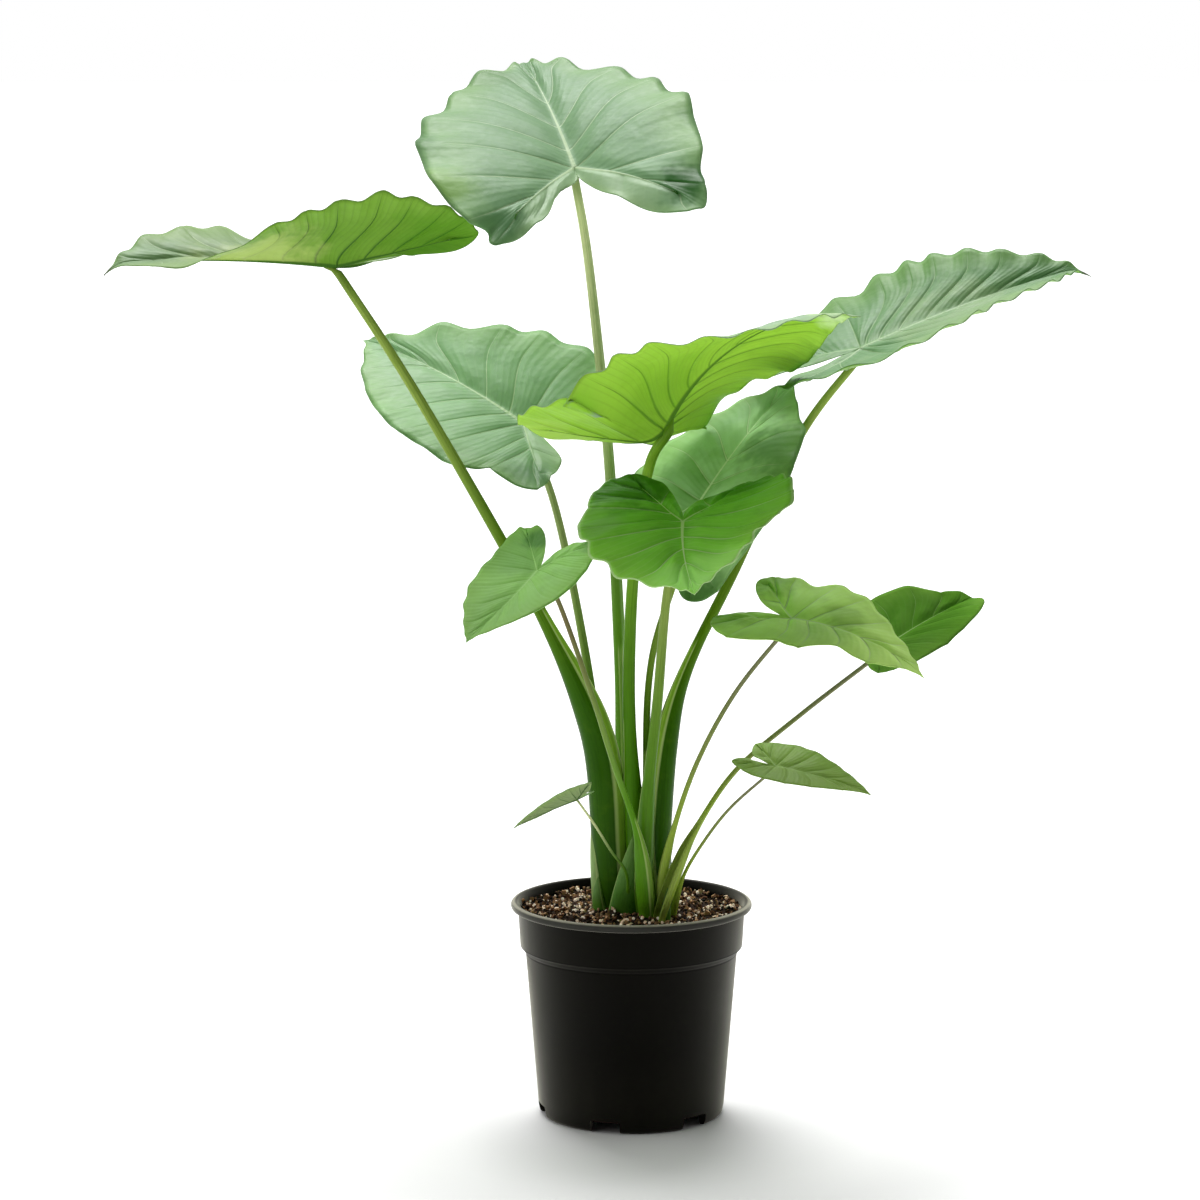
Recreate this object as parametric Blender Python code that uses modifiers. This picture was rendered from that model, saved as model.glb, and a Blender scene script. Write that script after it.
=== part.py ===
"""Potted alocasia: twelve heart-shaped leaves on sheathed stalks, standing in a black nursery pot.

Metres, +Z up. The origin is on the floor under the middle of the pot, and the plant's showy side faces -Y.
The pot and the potting mix are turned shapes, the stalks are tapered tubes, and each leaf blade is a thin
sheet laid out as a flat pattern of veins first and then arched, folded and turned into its place.
"""

import math

import bmesh
import bpy
import numpy as np
from mathutils import Vector

# ---------------------------------------------------------------- driving dimensions

GAP = 0.0003             # clearance between pieces that touch
WALL = 0.0018            # pot wall
TURN_STEPS = 48          # sides of a turned shape

RIM_RADIUS = 0.1356      # widest point of the rolled rim
RIM_TOP = 0.2430
RIM_MIDDLE = 0.2386      # height of the rim's widest point
COLLAR_TOP_RADIUS = 0.1275
COLLAR_RADIUS = 0.1250
COLLAR_BOTTOM = 0.1920
BODY_TOP_RADIUS = 0.1190
BODY_TOP = 0.1850
BASE_RADIUS = 0.1040
FLOOR_UNDERSIDE = 0.0080
FLOOR_THICKNESS = 0.0025
FOOT_WIDTH = 0.0030
PAD_RADIUS = 0.0220      # the flat boss under the middle of the floor

NOTCHES = 6              # drain notches through the foot
NOTCH_WIDTH = 0.0300
NOTCH_HEIGHT = 0.0120
NOTCH_DEPTH = 0.0240     # how far a notch reaches in from the base radius
FIRST_NOTCH = -107.0     # degrees from +X

MIX_TOP = 0.2300

ROOTSTOCK_CENTRE = (0.008, -0.006)
ROOTSTOCK_RADIUS = 0.0620
ROOTSTOCK_DEPTH = 0.0850

STALK_SIDES = 2          # bevel resolution: 2 gives 8 sides
STALK_STATIONS = 11      # rings along a stalk, above the one it stands on
UPRIGHT_FOOT = 0.0060    # the stalk leaves the crown upright over this height
BLADE_THICKNESS = 0.0012
BLADE_COLUMNS = 3        # faces from rib to margin
BLADE_ROWS = 20          # faces from sinus round the lobe to the tip, a multiple of five

# ---------------------------------------------------------------- the leaves

# A pair is (right, left), seen from above along the blade with its tip ahead. Widths and lobes are in blade
# lengths, angles in degrees. Heading is from +X towards +Y, and rise is the slope of the midrib at the stalk.
COMMON_SHAPE = {
    "width": (0.52, 0.52),       # half widths
    "lobe_back": (0.41, 0.41),   # how far each basal lobe reaches behind the stalk
    "lobe_out": (0.30, 0.30),    # how far each lobe's tip stands off the midline
    "shoulder": 0.46,            # how far forward the blade keeps its width
    "arch": 10,                  # how far the midrib bends down from stalk to tip
    "lift": (3, 3),              # how far the lobes are bent up where they leave the stalk
    "droop": (3, 3),             # how far the lobes bend down again towards their tips
    "fold": (10, 10),            # how far each half is raised at the stalk
    "tip_fold": (6, 6),          # and near the tip
    "curl": (-12, -12),          # how far each half curves up from rib to margin
    "twist": 2,                  # how far the tip is turned about the midrib
    "bend": 0,                   # how far the midrib bends to the right
    "roll": 0,
}


def leaf(name, hub, heading, rise, length, route, radii, sheath, **shape):
    """The recipe of one leaf: its blade's place and shape, and its stalk's route and radii."""
    recipe = dict(COMMON_SHAPE, name=name, hub=hub, heading=heading, rise=rise, length=length)
    recipe.update(route=route, radii=radii, sheath=sheath, **shape)
    return recipe


# The route lists points on the stalk from the rootstock up. The radii are at the foot, above the sheath and
# at the blade. The sheath is the part of the stalk, from its foot, that the wide base takes up.
LEAVES = [
    leaf("top", (-0.064, 0.075, 1.060), 102, 28, 0.335,
         [(0.000, 0.034), (-0.010, 0.066, 0.460), (-0.024, 0.106, 0.717), (-0.047, 0.092, 0.946)],
         (0.0100, 0.0080, 0.0045), 0.35,
         roll=1, width=(0.45, 0.53), lobe_back=(0.40, 0.41), lobe_out=(0.34, 0.31), arch=14,
         lift=(6, 3), droop=(17, 17), fold=(33, 16), tip_fold=(14, 12), curl=(-22, -21), twist=10),
    leaf("left", (-0.326, 0.020, 0.956), 188, 6, 0.256,
         [(-0.020, 0.010), (-0.023, 0.011, 0.300), (-0.037, 0.012, 0.430), (-0.101, 0.014, 0.568),
          (-0.235, 0.018, 0.806)],
         (0.0150, 0.0095, 0.0050), 0.45,
         roll=-3, width=(0.53, 0.53), lobe_back=(0.55, 0.55), lobe_out=(0.30, 0.29), arch=11,
         lift=(8, 5), droop=(-14, 6), fold=(5, 31), tip_fold=(24, -3), curl=(-12, -1), twist=9),
    leaf("right", (0.257, 0.070, 0.859), 9, 24, 0.278,
         [(0.035, -0.009), (0.028, -0.006, 0.330), (0.049, 0.007, 0.472), (0.116, 0.035, 0.614),
          (0.190, 0.055, 0.764)],
         (0.0125, 0.0085, 0.0045), 0.45,
         roll=-6, width=(0.52, 0.53), lobe_back=(0.42, 0.42), arch=10, lift=(9, -1), droop=(2, 1),
         fold=(-4, 12), tip_fold=(4, 31), curl=(22, -10), twist=-4, bend=-1),
    leaf("bright", (0.034, -0.045, 0.779), -11, 65, 0.280,
         [(0.008, 0.010), (0.000, 0.004, 0.390), (-0.003, 0.004, 0.498), (0.003, -0.004, 0.628),
          (0.019, -0.024, 0.736)],
         (0.0100, 0.0075, 0.0045), 0.35,
         roll=18, width=(0.59, 0.58), lobe_back=(0.48, 0.46), lobe_out=(0.30, 0.27), shoulder=0.43,
         arch=72, lift=(60, 62), droop=(0, -8), fold=(13, 10), tip_fold=(-12, -29), curl=(0, 0),
         twist=-3, bend=2),
    leaf("back_left", (-0.123, 0.160, 0.766), 142, 26, 0.272,
         [(-0.024, 0.035), (-0.031, 0.055, 0.350), (-0.050, 0.082, 0.500), (-0.086, 0.125, 0.672)],
         (0.0080, 0.0060, 0.0040), 0.30,
         roll=22, width=(0.48, 0.56), lobe_back=(0.31, 0.41), lobe_out=(0.31, 0.31), shoulder=0.54,
         arch=16, lift=(12, 9), droop=(9, 14), fold=(11, 13), tip_fold=(5, 14), curl=(-9, -3), twist=14),
    leaf("dark", (0.077, 0.020, 0.693), 42, 47, 0.202,
         [(0.027, 0.013), (0.017, 0.013, 0.400), (0.022, 0.013, 0.512), (0.047, 0.014, 0.600)],
         (0.0070, 0.0050, 0.0035), 0.35,
         roll=-5, lobe_back=(0.60, 0.42), lobe_out=(0.29, 0.30), arch=17, lift=(-2, -1), droop=(9, 11),
         fold=(9, 5), tip_fold=(5, 8), curl=(-13, -15), bend=-4),
    leaf("front", (0.054, -0.130, 0.687), 267, -12, 0.222,
         [(0.012, -0.018), (0.017, -0.039, 0.362), (0.028, -0.068, 0.481), (0.038, -0.105, 0.608)],
         (0.0070, 0.0050, 0.0035), 0.35,
         roll=-6, width=(0.51, 0.56), lobe_back=(0.46, 0.41), lobe_out=(0.26, 0.31), shoulder=0.44,
         arch=4, lift=(8, -3), droop=(-7, 5), fold=(10, 6), tip_fold=(-10, 11), curl=(-15, 12), bend=-10),
    leaf("low_left", (-0.104, -0.080, 0.627), 238, -28, 0.153,
         [(0.018, -0.042), (0.008, -0.050, 0.323), (-0.022, -0.055, 0.415), (-0.045, -0.064, 0.490),
          (-0.082, -0.077, 0.596)],
         (0.0090, 0.0042, 0.0027), 0.55,
         width=(0.42, 0.40), lobe_back=(0.43, 0.38), lobe_out=(0.31, 0.27), shoulder=0.49, arch=-10,
         lift=(6, 4), droop=(-2, 3), fold=(11, 8), tip_fold=(12, 6), curl=(-10, -15)),
    leaf("low_right", (0.175, -0.080, 0.574), 327, -1, 0.171,
         [(0.035, -0.042), (0.034, -0.043, 0.275), (0.046, -0.049, 0.333), (0.073, -0.058, 0.413),
          (0.115, -0.069, 0.493)],
         (0.0045, 0.0035, 0.0024), 0.40,
         roll=-7, lobe_out=(0.29, 0.31), arch=33, lift=(4, 13), droop=(0, 0), fold=(6, 17),
         tip_fold=(3, -1), curl=(-15, -14)),
    leaf("far_right", (0.283, 0.000, 0.531), 41, 22, 0.159,
         [(0.031, -0.055), (0.049, -0.054, 0.288), (0.070, -0.045, 0.331), (0.116, -0.027, 0.396),
          (0.188, -0.012, 0.456)],
         (0.0045, 0.0035, 0.0024), 0.30,
         roll=-5, lobe_back=(0.39, 0.41), shoulder=0.52, arch=11, lift=(2, 37), droop=(2, -2),
         fold=(12, 8), tip_fold=(9, 36), curl=(-10, -14)),
    leaf("small_right", (0.157, -0.095, 0.413), 332, -5, 0.118,
         [(0.047, -0.032), (0.056, -0.041, 0.275), (0.075, -0.056, 0.314), (0.108, -0.073, 0.362)],
         (0.0030, 0.0022, 0.0016), 0.30,
         roll=-7, width=(0.38, 0.37), lobe_back=(0.32, 0.35), arch=9, lift=(16, 0), droop=(0, 5),
         fold=(6, 17), tip_fold=(2, 6), curl=(-12, -1), twist=-4, bend=4),
    leaf("small_left", (-0.061, -0.080, 0.374), 187, -20, 0.077,
         [(-0.004, -0.014), (-0.006, -0.033, 0.280), (-0.023, -0.049, 0.309), (-0.042, -0.065, 0.343)],
         (0.0024, 0.0019, 0.0013), 0.30,
         roll=-28, width=(0.30, 0.31), lobe_back=(0.28, 0.26), arch=7, lift=(1, -1), droop=(4, 5),
         fold=(17, 17), tip_fold=(8, 11), curl=(0, 0), twist=-4),
]

# ---------------------------------------------------------------- scene and materials


def clear_scene():
    for obj in list(bpy.data.objects):
        bpy.data.objects.remove(obj, do_unlink=True)


def new_collection(name, hidden=False):
    collection = bpy.data.collections.new(name)
    bpy.context.scene.collection.children.link(collection)
    collection.hide_render = hidden
    return collection


def material(name, colour, roughness):
    made = bpy.data.materials.new(name)
    made.use_nodes = True
    shader = made.node_tree.nodes["Principled BSDF"]
    shader.inputs["Base Color"].default_value = (*colour, 1.0)
    shader.inputs["Roughness"].default_value = roughness
    shader.inputs["Metallic"].default_value = 0.0
    return made


def add_object(name, data, collection, finish):
    obj = bpy.data.objects.new(name, data)
    collection.objects.link(obj)
    data.materials.append(finish)
    return obj


def hide_cutter(obj):
    obj.hide_render = True
    obj.display_type = "WIRE"


# ---------------------------------------------------------------- turned shapes


def turned(name, profile, collection, finish, centre=(0.0, 0.0)):
    """A solid of revolution about a vertical axis. The profile is (radius, height), outer side downwards."""
    mesh = bpy.data.meshes.new(name)
    points = [(radius, 0.0, height) for radius, height in profile]
    edges = [(i, i + 1) for i in range(len(points) - 1)]
    mesh.from_pydata(points, edges, [])
    obj = add_object(name, mesh, collection, finish)
    obj.location = (centre[0], centre[1], 0.0)
    screw = obj.modifiers.new("Turn", "SCREW")
    screw.steps = TURN_STEPS
    screw.render_steps = TURN_STEPS
    screw.use_merge_vertices = True
    screw.merge_threshold = 0.00005
    screw.use_smooth_shade = True
    return obj


def body_radius(height):
    """Outside radius of the pot's tapered body."""
    return BASE_RADIUS + (BODY_TOP_RADIUS - BASE_RADIUS) * height / BODY_TOP


def collar_radius(height):
    """Outside radius of the straight band under the rim."""
    part = (height - COLLAR_BOTTOM) / (RIM_MIDDLE - COLLAR_BOTTOM)
    return COLLAR_RADIUS + (COLLAR_TOP_RADIUS - COLLAR_RADIUS) * part


def inner_wall(clearance, floor, top):
    """(radius, height) up the inside of the pot, from its floor to the given height."""
    inset = WALL + clearance
    return [
        (body_radius(floor) - inset, floor),
        (body_radius(BODY_TOP) - inset, BODY_TOP),
        (collar_radius(COLLAR_BOTTOM) - inset, COLLAR_BOTTOM),
        (collar_radius(top) - inset, top),
    ]


def make_pot(collection, cutters, finish):
    floor_top = FLOOR_UNDERSIDE + FLOOR_THICKNESS
    half = RIM_TOP - RIM_MIDDLE
    lip_centre = RIM_RADIUS - half
    angles = [math.radians(a) for a in (130, 90, 45, 0, -45, -90)]
    lip = [(lip_centre + half * math.cos(a), RIM_MIDDLE + half * math.sin(a)) for a in angles]
    foot_inside = BASE_RADIUS - FOOT_WIDTH
    profile = [(0.0, floor_top)]
    profile += inner_wall(0.0, floor_top, RIM_MIDDLE)
    profile += lip
    profile += [
        (collar_radius(RIM_MIDDLE - half), RIM_MIDDLE - half),
        (collar_radius(COLLAR_BOTTOM), COLLAR_BOTTOM),
        (BODY_TOP_RADIUS, BODY_TOP),
        (BASE_RADIUS, 0.0),
        (foot_inside, 0.0),
        (foot_inside, FLOOR_UNDERSIDE),
        (PAD_RADIUS, FLOOR_UNDERSIDE),
        (PAD_RADIUS, 0.0),
        (0.0, 0.0),
    ]
    pot = turned("nursery_pot", profile, collection, finish)
    for number in range(NOTCHES):
        angle = math.radians(FIRST_NOTCH + number * 360.0 / NOTCHES)
        reach = BASE_RADIUS + 0.010
        start = BASE_RADIUS - NOTCH_DEPTH
        size = (reach - start, NOTCH_WIDTH, 2.0 * NOTCH_HEIGHT)
        middle = 0.5 * (reach + start)
        place = (middle * math.cos(angle), middle * math.sin(angle), 0.0)
        cutter = box_cutter(f"notch_cutter_{number + 1}", size, place, angle, cutters)
        cut(pot, cutter)
    return pot


def box_cutter(name, size, place, angle, cutters):
    bm = bmesh.new()
    bmesh.ops.create_cube(bm, size=1.0)
    bmesh.ops.scale(bm, vec=size, verts=bm.verts)
    mesh = bpy.data.meshes.new(name)
    bm.to_mesh(mesh)
    bm.free()
    cutter = bpy.data.objects.new(name, mesh)
    cutters.objects.link(cutter)
    cutter.location = place
    cutter.rotation_euler = (0.0, 0.0, angle)
    hide_cutter(cutter)
    return cutter


def cut(obj, cutter):
    boolean = obj.modifiers.new(f"Cut {cutter.name}", "BOOLEAN")
    boolean.operation = "DIFFERENCE"
    boolean.solver = "EXACT"
    boolean.object = cutter


def rootstock_profile(grow, top):
    """The rounded tuber: flat on top, bulging under it, tapering to a blunt end."""
    radius = ROOTSTOCK_RADIUS + grow
    crown = MIX_TOP - 2.0 * GAP
    profile = [(0.0, top), (radius, top)]
    if top > crown:
        profile.append((radius, crown))
    for step in range(1, 7):
        angle = math.radians(15.0 * step)
        depth = (ROOTSTOCK_DEPTH + grow) * math.sin(angle)
        profile.append((radius * math.cos(angle) if step < 6 else 0.0, crown - depth))
    return profile


def make_mix_and_rootstock(collection, cutters, mix_finish, rootstock_finish):
    floor = FLOOR_UNDERSIDE + FLOOR_THICKNESS + GAP
    wall = inner_wall(2.0 * GAP, floor, MIX_TOP)
    profile = [(0.0, MIX_TOP)] + wall[::-1] + [(0.0, floor)]
    mix = turned("potting_mix", profile, collection, mix_finish)
    pocket_top = MIX_TOP + 0.010
    pocket = turned("rootstock_pocket", rootstock_profile(2.0 * GAP, pocket_top), cutters,
                    mix_finish, ROOTSTOCK_CENTRE)
    hide_cutter(pocket)
    cut(mix, pocket)
    turned("rootstock", rootstock_profile(0.0, MIX_TOP - 2.0 * GAP), collection, rootstock_finish,
           ROOTSTOCK_CENTRE)


# ---------------------------------------------------------------- leaf blades

BACK_ROWS = 0.2          # share of the rows on the inner side of a lobe, and again on its outer side
SINUS = 0.05             # depth of the notch's floor behind the stalk
BELLY = 0.05             # where the blade is widest, ahead of the stalk
DRIP_TIP = 0.05          # half width where the drip tip starts
HUB_ZONE = 0.12          # how near the stalk the lobes take up their own bend
STATIONS = np.linspace(0.0, 1.0, 101)


def smooth(x):
    x = np.clip(x, 0.0, 1.0)
    return x * x * (3.0 - 2.0 * x)


def bezier(start, lead, trail, end, t):
    t = t[..., None]
    ends = (1 - t) ** 3 * np.array(start) + t**3 * np.array(end)
    return ends + 3 * t * (1 - t) ** 2 * np.array(lead) + 3 * t * t * (1 - t) * np.array(trail)


def flat_pattern(recipe, side, t, s):
    """(across, along) of one half blade laid flat, in blade lengths.

    t runs from rib to margin. s runs from the sinus out along the lobe's inner side, back up its outer side
    and forward to the tip, so that each row of constant s follows a side vein.
    """
    width, back = recipe["width"][side], recipe["lobe_back"][side]
    out, shoulder = recipe["lobe_out"][side], recipe["shoulder"]
    inner = np.clip(s / BACK_ROWS, 0, 1)
    outer = np.clip((s - BACK_ROWS) / BACK_ROWS, 0, 1)
    front = np.clip((s - 2 * BACK_ROWS) / (1 - 2 * BACK_ROWS), 0, 1)
    is_inner = (s < BACK_ROWS)[..., None]
    is_back = (s < 2 * BACK_ROWS)[..., None]

    lobe_tip, widest = (out, -back), (width, BELLY)
    notch = bezier((0, -SINUS), (0.09 * out, -0.5 * (back + SINUS)), (0.35 * out, -back), lobe_tip, inner)
    flank = bezier(lobe_tip, (out + 0.68 * (width - out), -back), (width, 0.45 * BELLY - 0.55 * back),
                   widest, outer)
    sweep = bezier(widest, (width, BELLY + shoulder * (1 - BELLY)), (DRIP_TIP, 0.86), (0, 1), front)
    margin = np.where(is_inner, notch, np.where(is_back, flank, sweep))

    rib_end = np.array([0.86 * out, -0.82 * back])
    along_rib = np.where(s < BACK_ROWS, inner, 1 - outer)[..., None]
    midrib = np.stack([0 * front, front**1.12], axis=-1)
    rib = np.where(is_back, along_rib * rib_end, midrib)

    lean_across = np.where(s < BACK_ROWS, 0.5, np.where(s < 2 * BACK_ROWS, 0.5 - 0.15 * outer, 0.35))
    lean_along = np.where(s < BACK_ROWS, 0.5, np.where(s < 2 * BACK_ROWS, 0.5 + 0.12 * outer, 0.62))
    bow = rib + np.stack([lean_across, lean_along], axis=-1) * (margin - rib)
    t = t[..., None]
    flat = (1 - t) ** 2 * rib + 2 * t * (1 - t) * bow + t * t * margin
    return flat[..., 0], flat[..., 1]


def turning_curve(turn, distance):
    """How far a line gets, and its direction there, when it turns as it goes. turn is given at STATIONS."""
    middle = (turn[1:] + turn[:-1]) / 2
    forward = np.concatenate([[0], np.cumsum(np.cos(middle))]) / (len(STATIONS) - 1)
    sideways = np.concatenate([[0], np.cumsum(np.sin(middle))]) / (len(STATIONS) - 1)
    return (np.interp(distance, STATIONS, forward), np.interp(distance, STATIONS, sideways),
            np.interp(distance, STATIONS, turn))


def blade_frame(recipe):
    """Forward, right and up directions of the blade where it joins the stalk."""
    heading, rise, roll = (math.radians(recipe[key]) for key in ("heading", "rise", "roll"))
    forward = np.array([math.cos(heading) * math.cos(rise), math.sin(heading) * math.cos(rise),
                        math.sin(rise)])
    level = np.array([math.sin(heading), -math.cos(heading), 0.0])
    right = level * math.cos(roll) + np.cross(level, forward) * math.sin(roll)
    return forward, right, np.cross(right, forward)


def lobe_bend(lift, droop, along):
    turn = math.radians(droop) * STATIONS / 0.4 - math.radians(lift) * smooth(STATIONS / HUB_ZONE)
    ahead, down, angle = turning_curve(turn, -along)
    return np.stack([-ahead, -down, -angle])


def blade_points(recipe, side, t, s):
    """The place of each point of one half blade."""
    across, along = flat_pattern(recipe, side, t, s)
    ahead, down, angle = turning_curve(math.radians(recipe["arch"]) * STATIONS, along)
    own = lobe_bend(recipe["lift"][side], recipe["droop"][side], along)
    shared = lobe_bend(np.mean(recipe["lift"]), np.mean(recipe["droop"]), along)
    behind = shared + (own - shared) * smooth(across / HUB_ZONE)
    reach, height, angle = np.where(along < 0, behind, np.stack([ahead, -down, angle]))

    fold, tip_fold = recipe["fold"][side], recipe["tip_fold"][side]
    slope = np.radians(fold + (tip_fold - fold) * smooth(along / 0.8))
    curl = math.radians(recipe["curl"][side] or 0.01) / recipe["width"][side]
    outward = (1, -1)[side] * (np.sin(slope + curl * across) - np.sin(slope)) / curl
    raised = -(np.cos(slope + curl * across) - np.cos(slope)) / curl
    twist = math.radians(recipe["twist"]) * np.clip(along, -0.6, 1)
    sideways = outward * np.cos(twist) - raised * np.sin(twist)
    raised = outward * np.sin(twist) + raised * np.cos(twist)
    sideways = sideways + 0.5 * math.sin(math.radians(recipe["bend"])) * np.clip(along, 0, 1) ** 2

    forward, right, up = blade_frame(recipe)
    local_up = np.cos(angle)[..., None] * up + np.sin(angle)[..., None] * forward
    place = reach[..., None] * forward + height[..., None] * up
    place = place + sideways[..., None] * right + raised[..., None] * local_up
    return np.array(recipe["hub"]) + recipe["length"] * place


def make_blade(recipe, collection, finish):
    """Two grids, one for each half, shaped by the formula above, welded along the ribs and given a thickness."""
    name = f"leaf_blade_{recipe['name']}"
    bm = bmesh.new()
    for side in (0, 1):
        grid = bmesh.ops.create_grid(bm, x_segments=BLADE_COLUMNS, y_segments=BLADE_ROWS, size=0.5)
        verts = grid["verts"]
        t = np.array([vert.co.x + 0.5 for vert in verts])
        s = np.array([vert.co.y + 0.5 for vert in verts])
        for vert, place in zip(verts, blade_points(recipe, side, t, np.round(s, 6))):
            vert.co = Vector(place)
    bmesh.ops.remove_doubles(bm, verts=bm.verts, dist=0.0001)
    bmesh.ops.dissolve_degenerate(bm, edges=bm.edges, dist=0.00005)
    bmesh.ops.recalc_face_normals(bm, faces=bm.faces)
    up = Vector(blade_frame(recipe)[2])
    if sum(face.normal.dot(up) * face.calc_area() for face in bm.faces) < 0:
        bmesh.ops.reverse_faces(bm, faces=bm.faces)
    for face in bm.faces:
        face.smooth = True
    mesh = bpy.data.meshes.new(name)
    bm.to_mesh(mesh)
    bm.free()
    blade = add_object(name, mesh, collection, finish)
    solidify = blade.modifiers.new("Thickness", "SOLIDIFY")
    solidify.thickness = BLADE_THICKNESS
    solidify.offset = -1.0
    return blade


# ---------------------------------------------------------------- stalks


def smooth_route(points, count):
    """A Catmull-Rom curve through the points, read at even distances."""
    points = np.array(points)
    ends = np.vstack([2 * points[0] - points[1], points, 2 * points[-1] - points[-2]])
    u = np.linspace(0, 1, 20, endpoint=False)[:, None]
    spans = []
    for before, start, end, after in zip(ends, ends[1:], ends[2:], ends[3:]):
        bend = 2 * before - 5 * start + 4 * end - after
        cubic = -before + 3 * start - 3 * end + after
        spans.append(0.5 * (2 * start + (end - before) * u + bend * u**2 + cubic * u**3))
    curve = np.vstack(spans + [points[-1:]])
    distance = np.concatenate([[0], np.cumsum(np.linalg.norm(np.diff(curve, axis=0), axis=1))])
    even = np.linspace(0, distance[-1], count)
    return np.stack([np.interp(even, distance, curve[:, axis]) for axis in range(3)], axis=1)


def stalk_end(recipe):
    """The top of the stalk: just under the blade, far enough down for its rim to clear the sheet."""
    up = blade_frame(recipe)[2]
    hub = np.array(recipe["hub"])
    arriving = hub - np.array(recipe["route"][-1])
    arriving = arriving / np.linalg.norm(arriving)
    lean = math.sqrt(max(0.0, 1.0 - float(arriving @ up) ** 2))
    return hub - up * (BLADE_THICKNESS + 3.0 * GAP + recipe["radii"][2] * lean)


def stalk_radii(recipe, part):
    foot, neck, top = recipe["radii"]
    widening = (foot - neck) * (1.0 - smooth((part - 0.55 * recipe["sheath"]) / (0.6 * recipe["sheath"])))
    return top + (neck - top) * (1.0 - part) + widening


def make_stalk(recipe, collection, finish):
    foot = recipe["route"][0]
    seat = (foot[0], foot[1], MIX_TOP - GAP)
    start = (foot[0], foot[1], MIX_TOP + UPRIGHT_FOOT)
    route = [start] + list(recipe["route"][1:]) + [tuple(stalk_end(recipe))]
    points = np.vstack([[seat], smooth_route(route, STALK_STATIONS)])
    name = f"leaf_stalk_{recipe['name']}"
    curve = bpy.data.curves.new(name, "CURVE")
    curve.dimensions = "3D"
    curve.bevel_depth = 1.0
    curve.bevel_resolution = STALK_SIDES
    curve.use_fill_caps = True
    spline = curve.splines.new("POLY")
    spline.points.add(len(points) - 1)
    radii = stalk_radii(recipe, np.linspace(0.0, 1.0, STALK_STATIONS))
    radii = np.append(radii[0], radii)
    for knot, place, radius in zip(spline.points, points, radii):
        knot.co = (*place, 1.0)
        knot.radius = radius
    return add_object(name, curve, collection, finish)


# ---------------------------------------------------------------- the whole plant


def main():
    clear_scene()
    parts = new_collection("potted_alocasia")
    cutters = new_collection("cutters", hidden=True)
    black = material("black_plastic", (0.012, 0.014, 0.013), 0.55)
    soil = material("potting_mix", (0.055, 0.030, 0.018), 0.95)
    tuber = material("rootstock", (0.16, 0.09, 0.05), 0.80)
    stalk_green = material("stalk_green", (0.16, 0.33, 0.06), 0.40)
    blade_green = material("blade_green", (0.10, 0.30, 0.08), 0.42)
    make_pot(parts, cutters, black)
    make_mix_and_rootstock(parts, cutters, soil, tuber)
    for recipe in LEAVES:
        make_stalk(recipe, parts, stalk_green)
        make_blade(recipe, parts, blade_green)


main()
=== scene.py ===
# %% [markdown]
# # A potted alocasia, made piece by piece
#
# The plant stands in a black nursery pot. Twelve heart-shaped leaves rise from one clump, each on its own
# stalk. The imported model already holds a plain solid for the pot, the mix, the tuber, and every stalk and
# blade. This lesson dresses those solids: each new piece takes the place of one of them, so sizes and places
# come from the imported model. Only the old bracts and the loose grains on the mix stand for no solid.

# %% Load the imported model
import math
import random

import bpy
import numpy as np
from mathutils import Euler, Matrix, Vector


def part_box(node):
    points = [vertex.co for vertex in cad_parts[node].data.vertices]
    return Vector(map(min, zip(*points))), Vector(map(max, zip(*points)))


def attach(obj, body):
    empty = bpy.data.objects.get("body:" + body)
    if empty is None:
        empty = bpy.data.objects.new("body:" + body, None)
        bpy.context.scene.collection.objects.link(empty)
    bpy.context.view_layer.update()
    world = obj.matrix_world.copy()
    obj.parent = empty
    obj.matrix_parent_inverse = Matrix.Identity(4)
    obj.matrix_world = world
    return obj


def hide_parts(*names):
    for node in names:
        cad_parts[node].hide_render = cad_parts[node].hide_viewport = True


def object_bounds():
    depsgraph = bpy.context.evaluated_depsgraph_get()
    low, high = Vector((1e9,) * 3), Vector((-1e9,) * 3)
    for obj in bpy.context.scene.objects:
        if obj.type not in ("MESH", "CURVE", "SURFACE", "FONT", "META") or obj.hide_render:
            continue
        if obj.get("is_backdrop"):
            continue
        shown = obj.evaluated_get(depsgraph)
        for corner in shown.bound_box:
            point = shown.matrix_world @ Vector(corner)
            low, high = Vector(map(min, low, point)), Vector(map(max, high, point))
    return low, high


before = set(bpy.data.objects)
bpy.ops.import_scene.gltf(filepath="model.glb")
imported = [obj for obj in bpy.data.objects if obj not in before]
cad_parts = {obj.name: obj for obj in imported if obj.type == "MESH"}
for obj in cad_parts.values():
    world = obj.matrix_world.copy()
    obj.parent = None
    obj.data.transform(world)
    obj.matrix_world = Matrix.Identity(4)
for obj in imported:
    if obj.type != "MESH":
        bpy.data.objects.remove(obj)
solid_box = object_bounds()
print("nodes:", len(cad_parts), "box:", [tuple(round(v, 3) for v in corner) for corner in solid_box])

# %% [markdown]
# ## Small helpers
#
# A Blender operator acts on whatever is selected, and the imported solids arrive selected. So every new
# piece starts by clearing the selection. A finished piece then gets its finishes, rides on the plant's one
# body, and hides the imported solid that it stands for.


# %% Selecting and starting a piece
def clear_selection():
    if bpy.context.mode != "OBJECT":
        bpy.ops.object.mode_set(mode="OBJECT")
    bpy.ops.object.select_all(action="DESELECT")


def only(piece):
    """Select this piece alone and make it active."""
    clear_selection()
    piece.select_set(True)
    bpy.context.view_layer.objects.active = piece


def fresh(add_primitive, name, **settings):
    """Add a primitive with nothing else selected, and name it."""
    clear_selection()
    add_primitive(**settings)
    piece = bpy.context.object
    piece.name = piece.data.name = name
    return piece


# %% Closing and finishing a piece
CLOSE_HOLES = (bpy.ops.mesh.fill_holes, {"sides": 0})
FACE_OUTWARDS = (bpy.ops.mesh.normals_make_consistent, {"inside": False})


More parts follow.
